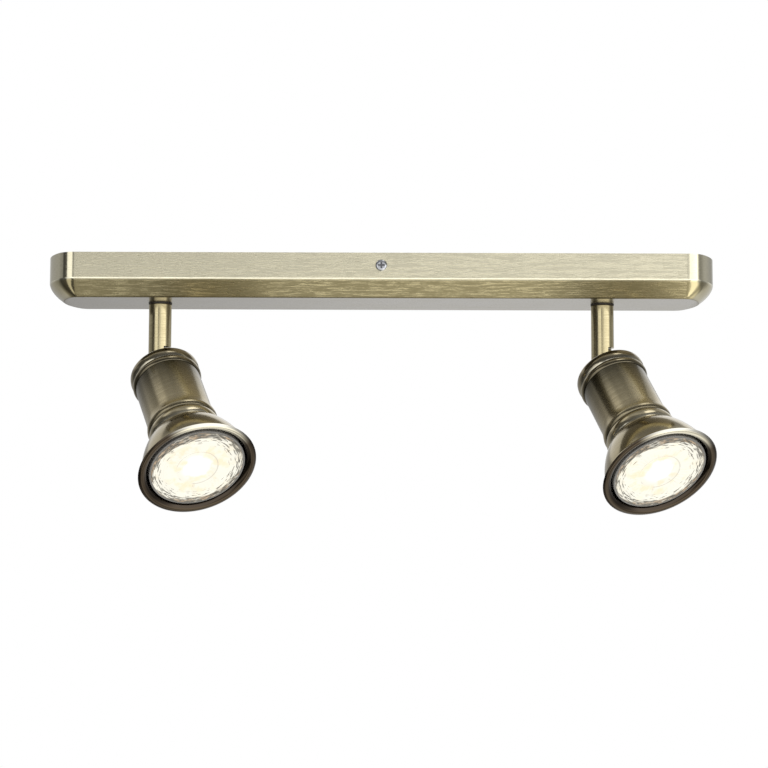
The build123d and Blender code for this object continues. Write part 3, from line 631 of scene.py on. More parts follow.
@dataclass(frozen=True)
class Metal(Finish):
    """Lined or turned metal under lacquer: streaks, patina, and roughness and relief that follow them.

    Lengths are metres. A mapped finish follows the piece's own maps, another one the object's coordinates.
    """

    light: Colour
    dark: Colour
    tarnish: Colour
    lines: float = 1400.0  # per metre, across them
    stretch: float = 26.0  # how many times longer than wide they are
    roughness: Point = (0.24, 0.36)  # on the light and on the dark lines
    relief: float = 0.12
    tarnish_share: float = 0.35
    speck_share: float = 0.6  # of the tarnish's share
    coat: float = 0.4
    coat_roughness: float = 0.08
    mapped: bool = True
    # colour of rubbed wear and of painted highlights on proud corners and along folds
    rub_and_highlight: Colour = (0.80, 0.76, 0.62)
    # colour of painted shade in hollow corners, also laid along the bar's face fold
    dirt_and_shade: Colour = (0.05, 0.045, 0.03)
    ragged: Point = (0.8, 0.5)  # how the lines' height scales the marks of wear and painted light, and what is added to it
    # tone past inside_from: painted shade inside the shade and on its lip, and a darker tone inside the bar's cover
    inside: Colour | None = None
    inside_from: float = 0.0  # along the surface's second coordinate
    inside_edge: float = 0.0004
    painted_highlight: Colour | None = None  # painted highlight on one side of the inside, where the lip faces the light
    painted_highlight_at: Point = (88.0, 0.0306)  # degrees round, and the radius
    painted_highlight_reach: Point = (0.64, 0.97)  # cosines of the angles where it ends and where it is full

    def lined(self, tree: Tree, surface: Socket, place: Socket, mask: Socket) -> tuple[Socket, Value]:
        """Where the lines are light, and what the roughness is multiplied by.

        Args:
            tree: the material's nodes.
            surface: coordinates along the surface.
            place: coordinates of the object.
            mask: of the plain lines.

        Returns:
            The mask and the factor.
        """
        return mask, 1.0

    def toned(self, tree: Tree, surface: Socket, tone: Socket) -> Socket:
        """The metal's tone over the surface.

        Args:
            tree: the material's nodes.
            surface: coordinates along the surface.
            tone: of the lines.

        Returns:
            The tone.
        """
        return tone

    def with_wear_and_painted_light(self, tree: Tree, surface: Socket, height: Socket, tone: Socket) -> Socket:
        """The tone with rubbed wear and painted highlights on proud corners, painted shade in hollow ones, and with
        that of the inside past where it starts.

        Args:
            tree: the material's nodes.
            surface: coordinates along the surface.
            height: of the lines, which makes the marks ragged.
            tone: of the metal.

        Returns:
            The tone.
        """
        # lighter marks: rubbed wear and painted highlights; darker marks: mostly painted shade
        rub_and_highlight, dirt_and_shade, _ = tree.parts(tree.surface(MARKS_NAME))
        ragged = tree.math("MULTIPLY_ADD", height, *self.ragged)
        tone = tree.mix(tree.times(rub_and_highlight, ragged), tone, self.rub_and_highlight)
        tone = tree.mix(tree.times(dirt_and_shade, ragged), tone, self.dirt_and_shade)
        if self.inside is None:
            return tone
        around, down, _ = tree.parts(surface)
        within = tree.step(down, self.inside_from, self.inside_from + self.inside_edge)
        inside = self.inside
        # a painted highlight on one side of the inside, at its angle round the axis
        if self.painted_highlight:
            degrees, radius = self.painted_highlight_at
            turn = tree.math("SUBTRACT", tree.math("DIVIDE", around, radius), math.radians(degrees))
            inside = tree.mix(tree.step(tree.math("COSINE", turn), *self.painted_highlight_reach), self.inside, self.painted_highlight)
        return tree.mix(within, tone, inside)

    def build(self, tree: Tree, shader: bpy.types.Node) -> None:
        """Fills the material's tree.

        Args:
            tree: the material's nodes.
            shader: its Principled BSDF.
        """
        place = tree.place()
        surface = tree.surface() if self.mapped else place
        lines = {"Position": surface, "Lines per metre": self.lines, "Stretch": self.stretch}
        streaks = tree.group(Group.STREAKS, lines)
        mask, polish = self.lined(tree, surface, place, streaks["Mask"])
        patina = tree.group(Group.PATINA, {"Position": place})
        tone = self.toned(tree, surface, tree.mix(mask, self.dark, self.light))
        for mark, part in (("Blotch", 1.0), ("Speck", self.speck_share)):
            tone = tree.mix(tree.times(patina[mark], self.tarnish_share * part), tone, self.tarnish)
        if self.mapped:
            tone = self.with_wear_and_painted_light(tree, surface, streaks["Height"], tone)
        smooth, coarse = self.roughness
        tree.fill(shader, {
            "Base Color": tone,
            "Roughness": tree.times(tree.step(mask, 0.0, 1.0, coarse, smooth), polish),
            "Normal": tree.relief(streaks["Height"], self.relief),
            "Metallic": 1.0,
            "Coat Weight": self.coat,
            "Coat Roughness": self.coat_roughness,
        })


@dataclass(frozen=True)
class FoldedMetal(Metal):
    """Lined sheet metal: coarse flecks on its folded side, a plain face toned greyer as a painted reflection, and
    polished ends past a faint seam.

    The lined values go from 0 on a dark line to 1 on a light one.
    """

    folds: Point = (0.0142, 0.0250)  # down the section: wall to side, and side to face
    fold_edge: float = 0.0003
    least_light: float = 0.25  # of the wall's lines
    fleck_lines: float = 2100.0
    fleck_stretch: float = 9.0
    fleck_power: float = 1.4
    fleck_range: Point = (1.20, -0.28)  # factor and offset
    polished_from: float = 0.1597  # from the middle of the bar
    polished_edge: float = 0.0005
    polish: float = 0.35
    plain_light: float = 0.66  # of the face and the polished ends
    end_fade: Point = (0.004, 0.009)  # past the seam
    end_light: float = 0.25
    seam_offset: float = 0.0003
    seam_fade: Point = (0.0002, 0.0009)
    seam_share: float = 0.75
    # greyer, darker tone of the face: a painted reflection of the grey around it
    face: Colour = (0.43, 0.405, 0.355)
    face_fade: float = 0.0012

    def lined(self, tree: Tree, surface: Socket, place: Socket, mask: Socket) -> tuple[Socket, Value]:
        """Where the lines are light, and what the roughness is multiplied by.

        Args:
            tree: the material's nodes.
            surface: coordinates along the surface.
            place: coordinates of the object.
            mask: of the plain lines.

        Returns:
            The mask and the factor.
        """
        down = tree.parts(surface)[1]
        from_middle = tree.math("ABSOLUTE", tree.parts(place)[0])
        below_fold, face = (tree.step(down, fold - self.fold_edge, fold + self.fold_edge) for fold in self.folds)
        off_face = tree.math("SUBTRACT", 1.0, face)
        lines = {"Position": surface, "Lines per metre": self.fleck_lines, "Stretch": self.fleck_stretch}
        flecks = tree.math("POWER", tree.group(Group.STREAKS, lines)["Mask"], self.fleck_power)
        flecks = tree.math("MULTIPLY_ADD", flecks, *self.fleck_range)
        start = self.polished_from
        polished = tree.step(from_middle, start - self.polished_edge, start + self.polished_edge)
        polished = tree.times(polished, off_face)
        plain = tree.math("MAXIMUM", face, polished)
        end = tree.step(from_middle, *(start + past for past in self.end_fade))
        mask = tree.step(mask, 0.0, 1.0, self.least_light, 1.0)
        for share, value in ((below_fold, flecks), (plain, self.plain_light), (end, self.end_light)):
            mask = tree.add("ShaderNodeMix", {0: share, 2: mask, 3: value}).outputs[0]
        past = tree.math("ABSOLUTE", tree.math("SUBTRACT", from_middle, start - self.seam_offset))
        seam = tree.times(tree.step(past, *self.seam_fade, self.seam_share, 0.0), off_face)
        return tree.math("SUBTRACT", mask, seam), tree.step(polished, 0.0, 1.0, 1.0, self.polish)

    def toned(self, tree: Tree, surface: Socket, tone: Socket) -> Socket:
        """The metal's tone over the surface: greyer and darker on the face, a painted reflection of the grey around it.

        Args:
            tree: the material's nodes.
            surface: coordinates along the surface.
            tone: of the lines.

        Returns:
            The tone.
        """
        fold = self.folds[1]
        return tree.mix(tree.step(tree.parts(surface)[1], fold, fold + self.face_fade), tone, self.face)


@dataclass(frozen=True)
class ScrewMetal(Metal):
    """Plain metal of the cover's screws, with painted shade in their cross recesses."""

    head_top: float = 0.032
    middle: float = -0.00685
    recess_depths: Point = (0.0004, 0.0001)  # where it is full and where it starts, below the head's top
    recess_reach: float = 0.0018
    recess_edge: float = 0.0001
    # painted shade in the cross recesses
    recess_shade: Colour = (0.15, 0.15, 0.16)

    def toned(self, tree: Tree, surface: Socket, tone: Socket) -> Socket:
        """The metal's tone over the surface: painted shade below the heads' tops, near their middle.

        Args:
            tree: the material's nodes.
            surface: coordinates of the object.
            tone: of the lines.

        Returns:
            The tone.
        """
        x, y, z = tree.parts(surface)
        lift = tree.math("SUBTRACT", z, self.middle)
        out = tree.math("SQRT", tree.math("MULTIPLY_ADD", x, x, tree.times(lift, lift)))
        levels = (self.head_top - depth for depth in self.recess_depths)
        below = tree.step(tree.math("ABSOLUTE", y), *levels, 1.0, 0.0)
        within = tree.step(out, self.recess_reach - self.recess_edge, self.recess_reach, 1.0, 0.0)
        return tree.mix(tree.times(below, within), tone, self.recess_shade)


@dataclass(frozen=True)
class Moulded(Finish):
    """Plastic, ceramic, nylon or woven sleeve: a colour with soft blotches and specks, and a fine grain."""

    light: Colour
    dark: Colour
    roughness: float = 0.5
    grain: float = 2600.0
    relief: float = 0.1
    blotch_share: float = 0.5
    speck_share: float = 0.3
    grain_detail: float = 2.0
    grain_step: Point = (0.3, 0.7)
    roughness_spread: float = 0.06

    def build(self, tree: Tree, shader: bpy.types.Node) -> None:
        """Fills the material's tree.

        Args:
            tree: the material's nodes.
            shader: its Principled BSDF.
        """
        place = tree.place()
        patina = tree.group(Group.PATINA, {"Position": place})
        blotches = tree.times(patina["Blotch"], self.blotch_share)
        share = tree.math("ADD", blotches, tree.times(patina["Speck"], self.speck_share))
        grain = tree.noise(place, self.grain, self.grain_detail)
        ends = (self.roughness - self.roughness_spread, self.roughness + self.roughness_spread)
        tree.fill(shader, {
            "Base Color": tree.mix(share, self.light, self.dark),
            "Roughness": tree.step(grain, *self.grain_step, *ends),
            "Normal": tree.relief(grain, self.relief),
        })


@dataclass(frozen=True)
class Strokes:
    """A noise drawn out round the middle of a lens, and between which of its values its strokes show."""

    length: float  # as a share of the turn's radian
    width: float  # as a share of the radius
    shown: Point
    detail: float = 2.0

    def mask(self, tree: Tree, turn: Socket, radius: Socket, more: Value = 0.0) -> Socket:
        """Where the strokes are: the noise is read at (cos a / length, sin a / length, radius / width).

        Args:
            tree: the material's nodes.
            turn: the angle a, in radians.
            radius: from 0 to 1.
            more: what is added to the noise, so that more of it shows.

        Returns:
            The mask.
        """
        sides = [tree.math("DIVIDE", tree.math(kind, turn), self.length) for kind in ("COSINE", "SINE")]
        out = tree.math("DIVIDE", radius, self.width)
        spot = tree.add("ShaderNodeCombineXYZ", {0: sides[0], 1: sides[1], 2: out}).outputs[0]
        return tree.step(tree.math("ADD", tree.noise(spot, 1.0, self.detail), more), *self.shown)


@dataclass(frozen=True)
class LitLens(Finish):
    """A lit clear optic: white in the middle, cream round it, dark strokes near the edge, and on the bevel painted
    shade and a painted brown reflection.

    Radii are shares of the lens's own, and a pair of them says where an edge starts and ends.
    """

    core: Colour = (1.0, 1.0, 0.96)
    # painted reflection of the shade's brown inside, on the bevel
    pale: Colour = (0.95, 0.92, 0.80)
    cream: Colour = (0.98, 0.82, 0.54)
    line: Colour = (0.07, 0.06, 0.045)
    brown: Colour = (0.42, 0.29, 0.17)
    grey: Colour = (0.55, 0.53, 0.46)
    unlit: Colour = (0.06, 0.06, 0.055)
    roughness: float = 0.08
    cloud_scale: float = 150.0
    cloud_detail: float = 3.0
    core_edge: Point = (0.26, 0.40)
    core_wander: float = 0.16  # how far the clouds move the core's edge
    cream_edge: Point = (0.24, 0.34)
    cream_fade: Point = (0.55, 0.85)
    cream_shares: Point = (0.75, 0.25)  # inside and outside that fade
    cream_clouds: Point = (0.46, 0.66)  # between which values of the clouds it shows
    ring_radius: float = 0.455
    ring_edge: Point = (0.006, 0.016)
    ring_breaks: Strokes = Strokes(0.8, 2.0, (0.44, 0.56))
    ring_share: float = 0.6
    hatch: Strokes = Strokes(0.035, 0.16, (0.60, 0.70))
    hatch_start: Point = (0.36, 0.42)
    hatch_end: Point = (0.52, 0.62)
    hatch_patches: Strokes = Strokes(0.5, 3.0, (0.50, 0.60))
    hatch_share: float = 0.7
    strokes: Strokes = Strokes(0.22, 0.022, (0.62, 0.69))
    strokes_start: Point = (0.64, 0.74)
    strokes_denser: Point = (0.66, 1.0)
    strokes_more: float = 0.16
    strokes_share: float = 0.85
    # the bevel: painted shade and a painted reflection of the shade's inside, starting farther in on some sides
    bevel: float = 0.925
    bevel_oval: Point = (0.065, 30.0)  # how much farther out it starts on an axis, and the axis in degrees
    bevel_shift: Point = (-0.035, 120.0)  # how much farther out it starts on a side, and the side in degrees
    bevel_wander: float = 0.10
    bevel_edge: Point = (-0.02, 0.02)
    bevel_share: float = 0.92
    bevel_dashes: Strokes = Strokes(0.14, 0.024, (0.46, 0.60))
    bevel_clouds: Point = (0.48, 0.66)

    def optic(self, tree: Tree, turn: Socket, radius: Socket, cloud: Socket) -> Socket:
        """The tone inside the bevel: core, cream, ring line, hatching and strokes, each laid over the last.

        Args:
            tree: the material's nodes.
            turn: the angle, in radians.
            radius: from 0 to 1.
            cloud: a soft noise.

        Returns:
            The tone.
        """
        wander = tree.math("MULTIPLY_ADD", tree.math("SUBTRACT", cloud, 0.5), self.core_wander, radius)
        tone = tree.mix(tree.step(wander, *self.core_edge), self.core, self.pale)
        zone = tree.times(tree.step(wander, *self.cream_edge), tree.step(radius, *self.cream_fade, *self.cream_shares))
        tone = tree.mix(tree.times(zone, tree.step(cloud, *self.cream_clouds)), tone, self.cream)
        off_ring = tree.math("ABSOLUTE", tree.math("SUBTRACT", radius, self.ring_radius))
        ring = tree.times(tree.step(off_ring, *self.ring_edge, 1.0, 0.0), self.ring_breaks.mask(tree, turn, radius))
        tone = tree.mix(tree.times(ring, self.ring_share), tone, self.grey)
        middle = tree.times(tree.step(radius, *self.hatch_start), tree.step(radius, *self.hatch_end, 1.0, 0.0))
        hatch = (strokes.mask(tree, turn, radius) for strokes in (self.hatch, self.hatch_patches))
        tone = tree.mix(tree.times(middle, *hatch, self.hatch_share), tone, self.grey)
        more = tree.times(tree.step(radius, *self.strokes_denser), self.strokes_more)
        strokes = tree.times(self.strokes.mask(tree, turn, radius, more), tree.step(radius, *self.strokes_start))
        return tree.mix(tree.times(strokes, self.strokes_share), tone, self.line)

    def build(self, tree: Tree, shader: bpy.types.Node) -> None:
        """Fills the material's tree. The surface map holds the turn from 0 to 1 and the radius from 0 to 1.

        Args:
            tree: the material's nodes.
            shader: its Principled BSDF.
        """
        share, radius, _ = tree.parts(tree.surface())
        turn = tree.times(share, math.tau)
        cloud = tree.noise(tree.place(), self.cloud_scale, self.cloud_detail)
        tone = self.optic(tree, turn, radius, cloud)
        start: Value = self.bevel
        for (size, degrees), periods in ((self.bevel_oval, 2.0), (self.bevel_shift, 1.0)):
            angle = tree.times(tree.math("SUBTRACT", turn, math.radians(degrees)), periods)
            start = tree.math("MULTIPLY_ADD", tree.math("COSINE", angle), size, start)
        wander = tree.math("MULTIPLY_ADD", tree.math("SUBTRACT", cloud, 0.5), self.bevel_wander, radius)
        past = tree.math("SUBTRACT", wander, start)
        # painted reflection of the shade's brown inside, greyer in places
        painted_reflection = tree.mix(tree.step(cloud, *self.bevel_clouds), self.brown, self.grey)
        edge = tree.mix(self.bevel_dashes.mask(tree, turn, radius), self.line, painted_reflection)
        tree.fill(shader, {
            "Emission Color": tree.mix(tree.step(past, *self.bevel_edge, 0.0, self.bevel_share), tone, edge),
            "Emission Strength": 1.0,
            "Base Color": self.unlit,
            "Roughness": self.roughness,
        })


# its lighter mark paints a highlight along the wall's fold and rubbed wear on the back edge; inside is a darker tone
# inside the cover
BAR_BRASS = FoldedMetal(
    "brushed_bar_brass", (0.71, 0.64, 0.42), (0.34, 0.30, 0.18), (0.36, 0.32, 0.20),
    lines=1500.0, stretch=12.0, roughness=(0.22, 0.34), relief=0.22, tarnish_share=0.18, coat=0.04,
    rub_and_highlight=(0.92, 0.88, 0.70), dirt_and_shade=(0.20, 0.17, 0.095), inside=(0.42, 0.38, 0.26), inside_from=0.0999,
)
STEM_BRASS = Metal(
    "polished_stem_brass", (0.62, 0.545, 0.335), (0.52, 0.45, 0.265), (0.38, 0.31, 0.16),
    lines=2600.0, stretch=30.0, roughness=(0.10, 0.18), relief=0.06, tarnish_share=0.20, coat=0.04,
)
HEAD_BRONZE = Metal(
    "dark_head_bronze", (0.45, 0.39, 0.25), (0.37, 0.315, 0.195), (0.27, 0.22, 0.13),
    lines=3400.0, stretch=40.0, roughness=(0.20, 0.28), relief=0.04, tarnish_share=0.30, coat=0.20,
    coat_roughness=0.05,
)
# a darker copy of the head's bronze: painted shade on the rear cap
SHADED_CAP_BRONZE = replace(
    HEAD_BRONZE, name="cap_bronze_painted_shade", light=(0.32, 0.275, 0.175), dark=(0.25, 0.21, 0.13),
    tarnish=(0.18, 0.145, 0.085), roughness=(0.12, 0.18),
)
# inside paints shade inside the shade and on its rolled lip; painted_highlight paints a highlight on one side of the
# lip
SHADE_BRONZE = replace(
    HEAD_BRONZE, name="dark_shade_bronze", roughness=(0.12, 0.18), inside=(0.058, 0.044, 0.031), inside_from=0.0331,
    painted_highlight=(0.70, 0.68, 0.60),
)
KNUCKLE_BRONZE = Metal(
    "dark_knuckle_bronze", (0.16, 0.14, 0.10), (0.11, 0.095, 0.07), (0.07, 0.06, 0.045),
    lines=3000.0, stretch=12.0, roughness=(0.25, 0.36), mapped=False, coat=0.6,
)
ZINC = Metal(
    "zinc_plate", (0.72, 0.72, 0.70), (0.56, 0.56, 0.55), (0.46, 0.46, 0.44),
    lines=2400.0, stretch=3.0, roughness=(0.28, 0.42), mapped=False, coat=0.0, tarnish_share=0.3,
)
SPRING_STEEL = Metal(
    "blued_spring_steel", (0.36, 0.37, 0.41), (0.25, 0.26, 0.29), (0.16, 0.15, 0.14),
    lines=3200.0, stretch=8.0, mapped=False, coat=0.1,
)
SCREW_NICKEL = ScrewMetal(
    "dull_screw_nickel", (0.62, 0.63, 0.66), (0.44, 0.45, 0.47), (0.24, 0.24, 0.26),
    lines=2600.0, stretch=3.0, roughness=(0.20, 0.30), mapped=False, coat=0.0, tarnish_share=0.4,
)
DARK_STEEL = Metal(
    "blackened_steel", (0.17, 0.16, 0.15), (0.10, 0.095, 0.09), (0.06, 0.055, 0.05),
    lines=3200.0, stretch=8.0, mapped=False, coat=0.2,
)
CONTACT_BRASS = Metal(
    "plain_contact_brass", (0.80, 0.66, 0.34), (0.66, 0.52, 0.24), (0.46, 0.34, 0.16),
    lines=2800.0, stretch=6.0, mapped=False, coat=0.0,
)
BLACK_NYLON = Moulded("black_nylon", (0.055, 0.045, 0.033), (0.030, 0.024, 0.018), 0.45)
BLOCK_PLASTIC = Moulded("block_plastic", (0.84, 0.83, 0.78), (0.74, 0.72, 0.65), 0.45)
CERAMIC = Moulded("plain_ceramic", (0.86, 0.84, 0.78), (0.72, 0.69, 0.62), 0.6, 1800.0, 0.25)
LAMP_PLASTIC = Moulded("lamp_housing_plastic", (0.34, 0.33, 0.31), (0.24, 0.23, 0.215), 0.22)
CHIP_PHOSPHOR = Moulded("chip_phosphor", (0.92, 0.80, 0.36), (0.84, 0.68, 0.22), 0.4)
SLEEVE = Moulded("woven_sleeve", (0.84, 0.82, 0.76), (0.62, 0.60, 0.54), 0.8, 1400.0, 0.6)
BROWN = Moulded("brown_insulation", (0.27, 0.13, 0.06), (0.20, 0.09, 0.04), 0.35)
BLUE = Moulded("blue_insulation", (0.07, 0.20, 0.52), (0.05, 0.14, 0.40), 0.35)
GREEN = Moulded("earth_insulation", (0.30, 0.50, 0.08), (0.62, 0.58, 0.06), 0.35)
LENS = LitLens("lit_lens")
PALE_FLOOR = Moulded("pale_floor", (0.80, 0.80, 0.79), (0.78, 0.78, 0.77), 0.7, 400.0, 0.02)


@dataclass
class BarCover:
    """The folded cover. Its plan has straight sides, arched ends and rounded corners, and its walls fold in."""

    length: float = 352.0
    width: float = 60.0
    wall_height: float = 13.7
    chamfer_height: float = 9.0
    chamfer_inset: float = 7.5
    end_radius: float = 45.0
    end_rise: float = 1.5
    corner_radius: float = 10.0
    face_corner_radius: float = 6.0
    sheet: float = 1.0
    bend_radius: float = 0.5
    hole_radius: float = 5.05
    fold_margin: float = 0.9
    inside_map: float = 100.0  # where the inside's surface coordinates start
    side_steps: int = 90
    corner_steps: int = 26
    end_steps: int = 36
    chamfer_steps: int = 14
    fold_rows: int = 11
    hole_steps: int = 48
    wear_and_light_reach: float = 0.7
    edge_rub: float = 0.6  # of the back edge's rubbed wear, against 1 for the painted highlight along the fold
    sharp_degrees: float = 50.0

    @property
    def height(self) -> float:
        """From the back edge to the face."""
        return self.wall_height + self.chamfer_height

    def run(self, inset: float, rise: float) -> np.ndarray:
        """One skin's section: wall, rounded fold, chamfer, rounded fold and the start of the flat.

        At a share u down the chamfer the skin stands in by chamfer_inset * u - 4 * rise * u * (1 - u), and by
        inset * sqrt(1 + slope^2) more where it is the inside of the sheet.

        Args:
            inset: how far the skin lies inside the outer one.
            rise: how far the chamfer's middle stands out.

        Returns:
            Rows of distance in from the outline and depth below the back edge.
        """
        slope = self.chamfer_inset / self.chamfer_height
        fold = self.wall_height - inset * (math.hypot(1, slope) - 1) / slope
        floor = self.height - inset
        inner = np.linspace(fold + self.fold_margin, floor - self.fold_margin, self.chamfer_steps)
        depth = np.concatenate([inner, [floor]])
        share = (depth - self.wall_height) / self.chamfer_height
        lean = (self.chamfer_inset - 4 * rise * (1 - 2 * share)) / self.chamfer_height
        into = self.chamfer_inset * share - 4 * rise * share * (1 - share) + inset * np.hypot(1, lean)
        chamfer = np.stack([into, depth], -1)
        radius = self.bend_radius + self.sheet - inset
        lip = chamfer[-1] + (self.bend_radius + self.sheet, 0.0)
        upper = rounded(np.array([(inset, 0.0), (inset, fold), chamfer[0]]), radius, self.fold_rows - 1)
        lower = rounded(np.array([chamfer[-2], chamfer[-1], lip]), radius, self.fold_rows - 1)
        return np.concatenate([upper, chamfer[1:-2], lower])

    def shell(self, inset: float) -> np.ndarray:
        """One skin as a grid of points.

        Each row's plan is a straight side, a corner arc tangent to the side and inside the end arc, and half the
        end arc. Sides follow one section, ends the other, and the corner passes smoothly from one to the other.

        Args:
            inset: how far the skin lies inside the outer one.

        Returns:
            Points in millimetres by row, column and axis. The columns go once round.
        """
        side, end = self.run(inset, 0.0), self.run(inset, self.end_rise)
        share = np.clip((side[:, 1] - self.wall_height) / (self.chamfer_height - inset), 0, 1)
        past = np.maximum(side[:, 0] - side[-1, 0] + self.bend_radius + self.sheet, 0)
        corner = self.corner_radius + share * (self.face_corner_radius - self.corner_radius) - inset - past
        half_width = self.width / 2 - side[:, 0]
        reach = self.end_radius - end[:, 0]
        end_x = self.length / 2 - self.end_radius
        corner_y = half_width - corner
        corner_x = end_x + np.sqrt((reach - corner) ** 2 - corner_y**2)
        meet = np.arctan2(corner_y, corner_x - end_x)[:, None]
        flat = np.linspace(0, 1, self.side_steps, endpoint=False) * corner_x[:, None]
        turn = math.pi / 2 + np.linspace(0, 1, self.corner_steps, endpoint=False) * (meet - math.pi / 2)
        sweep = meet * np.linspace(1, 0, self.end_steps + 1)
        x = np.concatenate([flat, corner_x[:, None] + corner[:, None] * np.cos(turn),
                            end_x + reach[:, None] * np.cos(sweep)], axis=1)
        y = np.concatenate([np.repeat(half_width[:, None], self.side_steps, axis=1),
                            corner_y[:, None] + corner[:, None] * np.sin(turn), reach[:, None] * np.sin(sweep)], axis=1)
        ease = np.clip((np.arange(x.shape[1]) - self.side_steps) / self.corner_steps, 0, 1)
        ease = ease * ease * (3 - 2 * ease)
        z = -side[:, 1:] - ease * (end[:, 1:] - side[:, 1:])
        quarter = np.stack([x, y, z], -1)
        right = np.concatenate([quarter, quarter[:, -2:0:-1] * (1, -1, 1)], axis=1)
        foot = quarter[:, :1] * (1, -1, 1)
        return np.concatenate([right, foot, right[:, :0:-1] * (-1, 1, 1)], axis=1)

    def wear_and_light(self, levels: np.ndarray, folds: np.ndarray, count: int) -> np.ndarray:
        """Marks of a skin: a painted highlight along the wall's fold, rubbed wear along the back edge, and darker along
        the face's fold.

        Args:
            levels: metres down the section at each row.
            folds: where the two folds are.
            count: columns of the grid.

        Returns:
            One pair, the lighter and the darker mark, for each corner of each face.
        """
        spread = self.wear_and_light_reach * MM
        edge, fold, face = (np.exp(-(((levels - mark) / spread) ** 2)) for mark in (0.0, *folds))
        # the wall's fold gets a painted highlight, the back edge rubbed wear, and the face's fold is made darker
        return ring_wear_and_light(fold + self.edge_rub * edge, face, count)

    def build(self, spots: Sequence[SpotAxes]) -> bpy.types.Object:
        """Builds the cover: an outer and an inner skin, the edge between them, and two flats with the stems' holes.

        Args:
            spots: whose stems go through the face.

        Returns:
            The object. Its surface coordinates are metres along the outline and metres down the section, which go
            on across the face, and start again at inside_map on the inside.
        """
        outer, inner = self.shell(0.0), self.shell(self.sheet)[::-1]
        count = outer.shape[1]
        travel = along(np.concatenate([outer[0], outer[0, :1]])) * MM
        down = along(self.run(0.0, 0.0)) * MM
        inside = along(self.run(self.sheet, 0.0)) * MM + self.inside_map * MM
        folds = down[[self.fold_rows // 2 + 1, -(self.fold_rows // 2 + 2)]]
        skin = Skin()
        starts = [
            skin.add(rows.reshape(-1, 3) * MM, ring_quads(len(rows), count), ring_map(levels, travel),
                     self.wear_and_light(levels, folds, count))
            for rows, levels in ((outer, down), (inner, inside))
        ]
        edge = np.stack([np.arange(count), (np.arange(count) + 1) % count], -1)
        back = starts[1] + (len(inner) - 1) * count
        ends = np.stack([travel[:-1], travel[1:], travel[1:], travel[:-1]], -1)
        depth = np.array([0.0, 0.0, self.sheet, self.sheet]) * MM
        edge_map = np.stack([ends, np.broadcast_to(depth, ends.shape)], -1).reshape(-1, 2)
        skin.cover(np.concatenate([edge, edge[:, ::-1] + back], axis=1), edge_map)
        angles = np.arange(self.hole_steps) * math.tau / self.hole_steps
        circle = self.hole_radius * np.stack([np.cos(angles), np.sin(angles)], -1)
        levels = np.array([outer[-1, 0, 2], inner[0, 0, 2]])
        holes: list[int] = []
        for spot in spots:
            heights = np.repeat(levels, self.hole_steps)[:, None]
            points = np.concatenate([np.tile(circle + spot.pivot[:2] / MM, (2, 1)), heights], -1) * MM
            around = np.linspace(0, math.tau * self.hole_radius * MM, self.hole_steps + 1)
            thickness = np.array([0.0, self.sheet]) * MM + self.inside_map * MM
            holes.append(skin.add(points, ring_quads(2, self.hole_steps), ring_map(thickness, around)))
        everything = np.concatenate(skin.points)
        borders = [(len(outer) - 1) * count, starts[1]]
        for level, (border, start) in enumerate(zip(borders, (down[-1], inside[-1]))):
            firsts = [(border, count), *((hole + level * self.hole_steps, self.hole_steps) for hole in holes)]
            rings = [first + np.arange(length) for first, length in firsts]
            corners = [everything[ring].tolist() for ring in rings]
            triangles = np.concatenate(rings)[np.array(tessellate_polygon(corners))]
            flat = everything[triangles.ravel(), :2] * (1, -1) + (0.0, start + self.width / 2 * MM)
            skin.cover(triangles, flat)
        return skin.piece("bar_cover_surface", self.sharp_degrees)


@dataclass
class Stem:
    """A stem: threaded spigot, plain rod and the half-round end of the lap knuckle."""

    axes: SpotAxes
    radius: float = 6.0
    bore_radius: float = 3.0
    spigot_radius: float = 5.0
    spigot_top: float = -14.15
    top: float = -23.35
    edge: float = 0.35
    lap_shoulder: float = 7.35
    half_lap_gap: float = 0.025
    bore_depth: float = 16.0
    steps: int = 96
    end_steps: int = 20

    def build(self) -> bpy.types.Object:
        """Builds the stem: rings of radius r(q) at height z(q), cut flat on one side below the shoulder.

        Below the shoulder a point's distance along the tilt axis is at most minus half the lap's gap, and below
        the tilt axis its height is at least minus sqrt(R^2 - h^2), which rounds the end about that axis.

        Returns:
            The object. Its surface coordinates are metres round the rod and metres along it.
        """
        pivot = self.axes.pivot / MM
        bottom = np.sin(np.linspace(0, math.pi / 2, self.end_steps + 1)) * self.radius
        shoulder = pivot[2] + self.lap_shoulder
        upper = [
            (0.0, self.spigot_top - self.bore_depth), (self.bore_radius, self.spigot_top - self.bore_depth),
            (self.bore_radius, self.spigot_top), (self.spigot_radius - self.edge, self.spigot_top),
            (self.spigot_radius, self.spigot_top - self.edge), (self.spigot_radius, self.top),
            (self.radius - self.edge, self.top), (self.radius, self.top - self.edge), (self.radius, shoulder),
        ]
        lower = [
            (self.radius, shoulder), *((self.radius, pivot[2] - drop) for drop in bottom),
            (0.0, pivot[2] - self.radius),
        ]
        profile = np.array(upper + lower)
        lapped = np.arange(len(profile)) >= len(upper)
        angles = np.arange(self.steps) * math.tau / self.steps
        sideways = profile[:, :1] * np.cos(angles)
        sideways = np.where(lapped[:, None], np.minimum(sideways, -self.half_lap_gap), sideways)
        forward = profile[:, :1] * np.sin(angles)
        round_end = pivot[2] - np.sqrt(np.maximum(self.radius**2 - forward**2, 0))
        heights = np.where(lapped[:, None], np.maximum(profile[:, 1:], round_end), profile[:, 1:])
        across = np.cross([0.0, 0.0, 1.0], self.axes.tilt)
        points = sideways[..., None] * self.axes.tilt + forward[..., None] * across
        points = points + [pivot[0], pivot[1], 0.0]
        points[..., 2] = heights
        skin = Skin()
        columns = np.linspace(0, math.tau * self.radius * MM, self.steps + 1)
        quads = ring_quads(len(profile), self.steps)
        skin.add(points.reshape(-1, 3) * MM, quads, ring_map(along(profile) * MM, columns))
        return skin.piece(f"{self.axes.node('stem')}_surface")


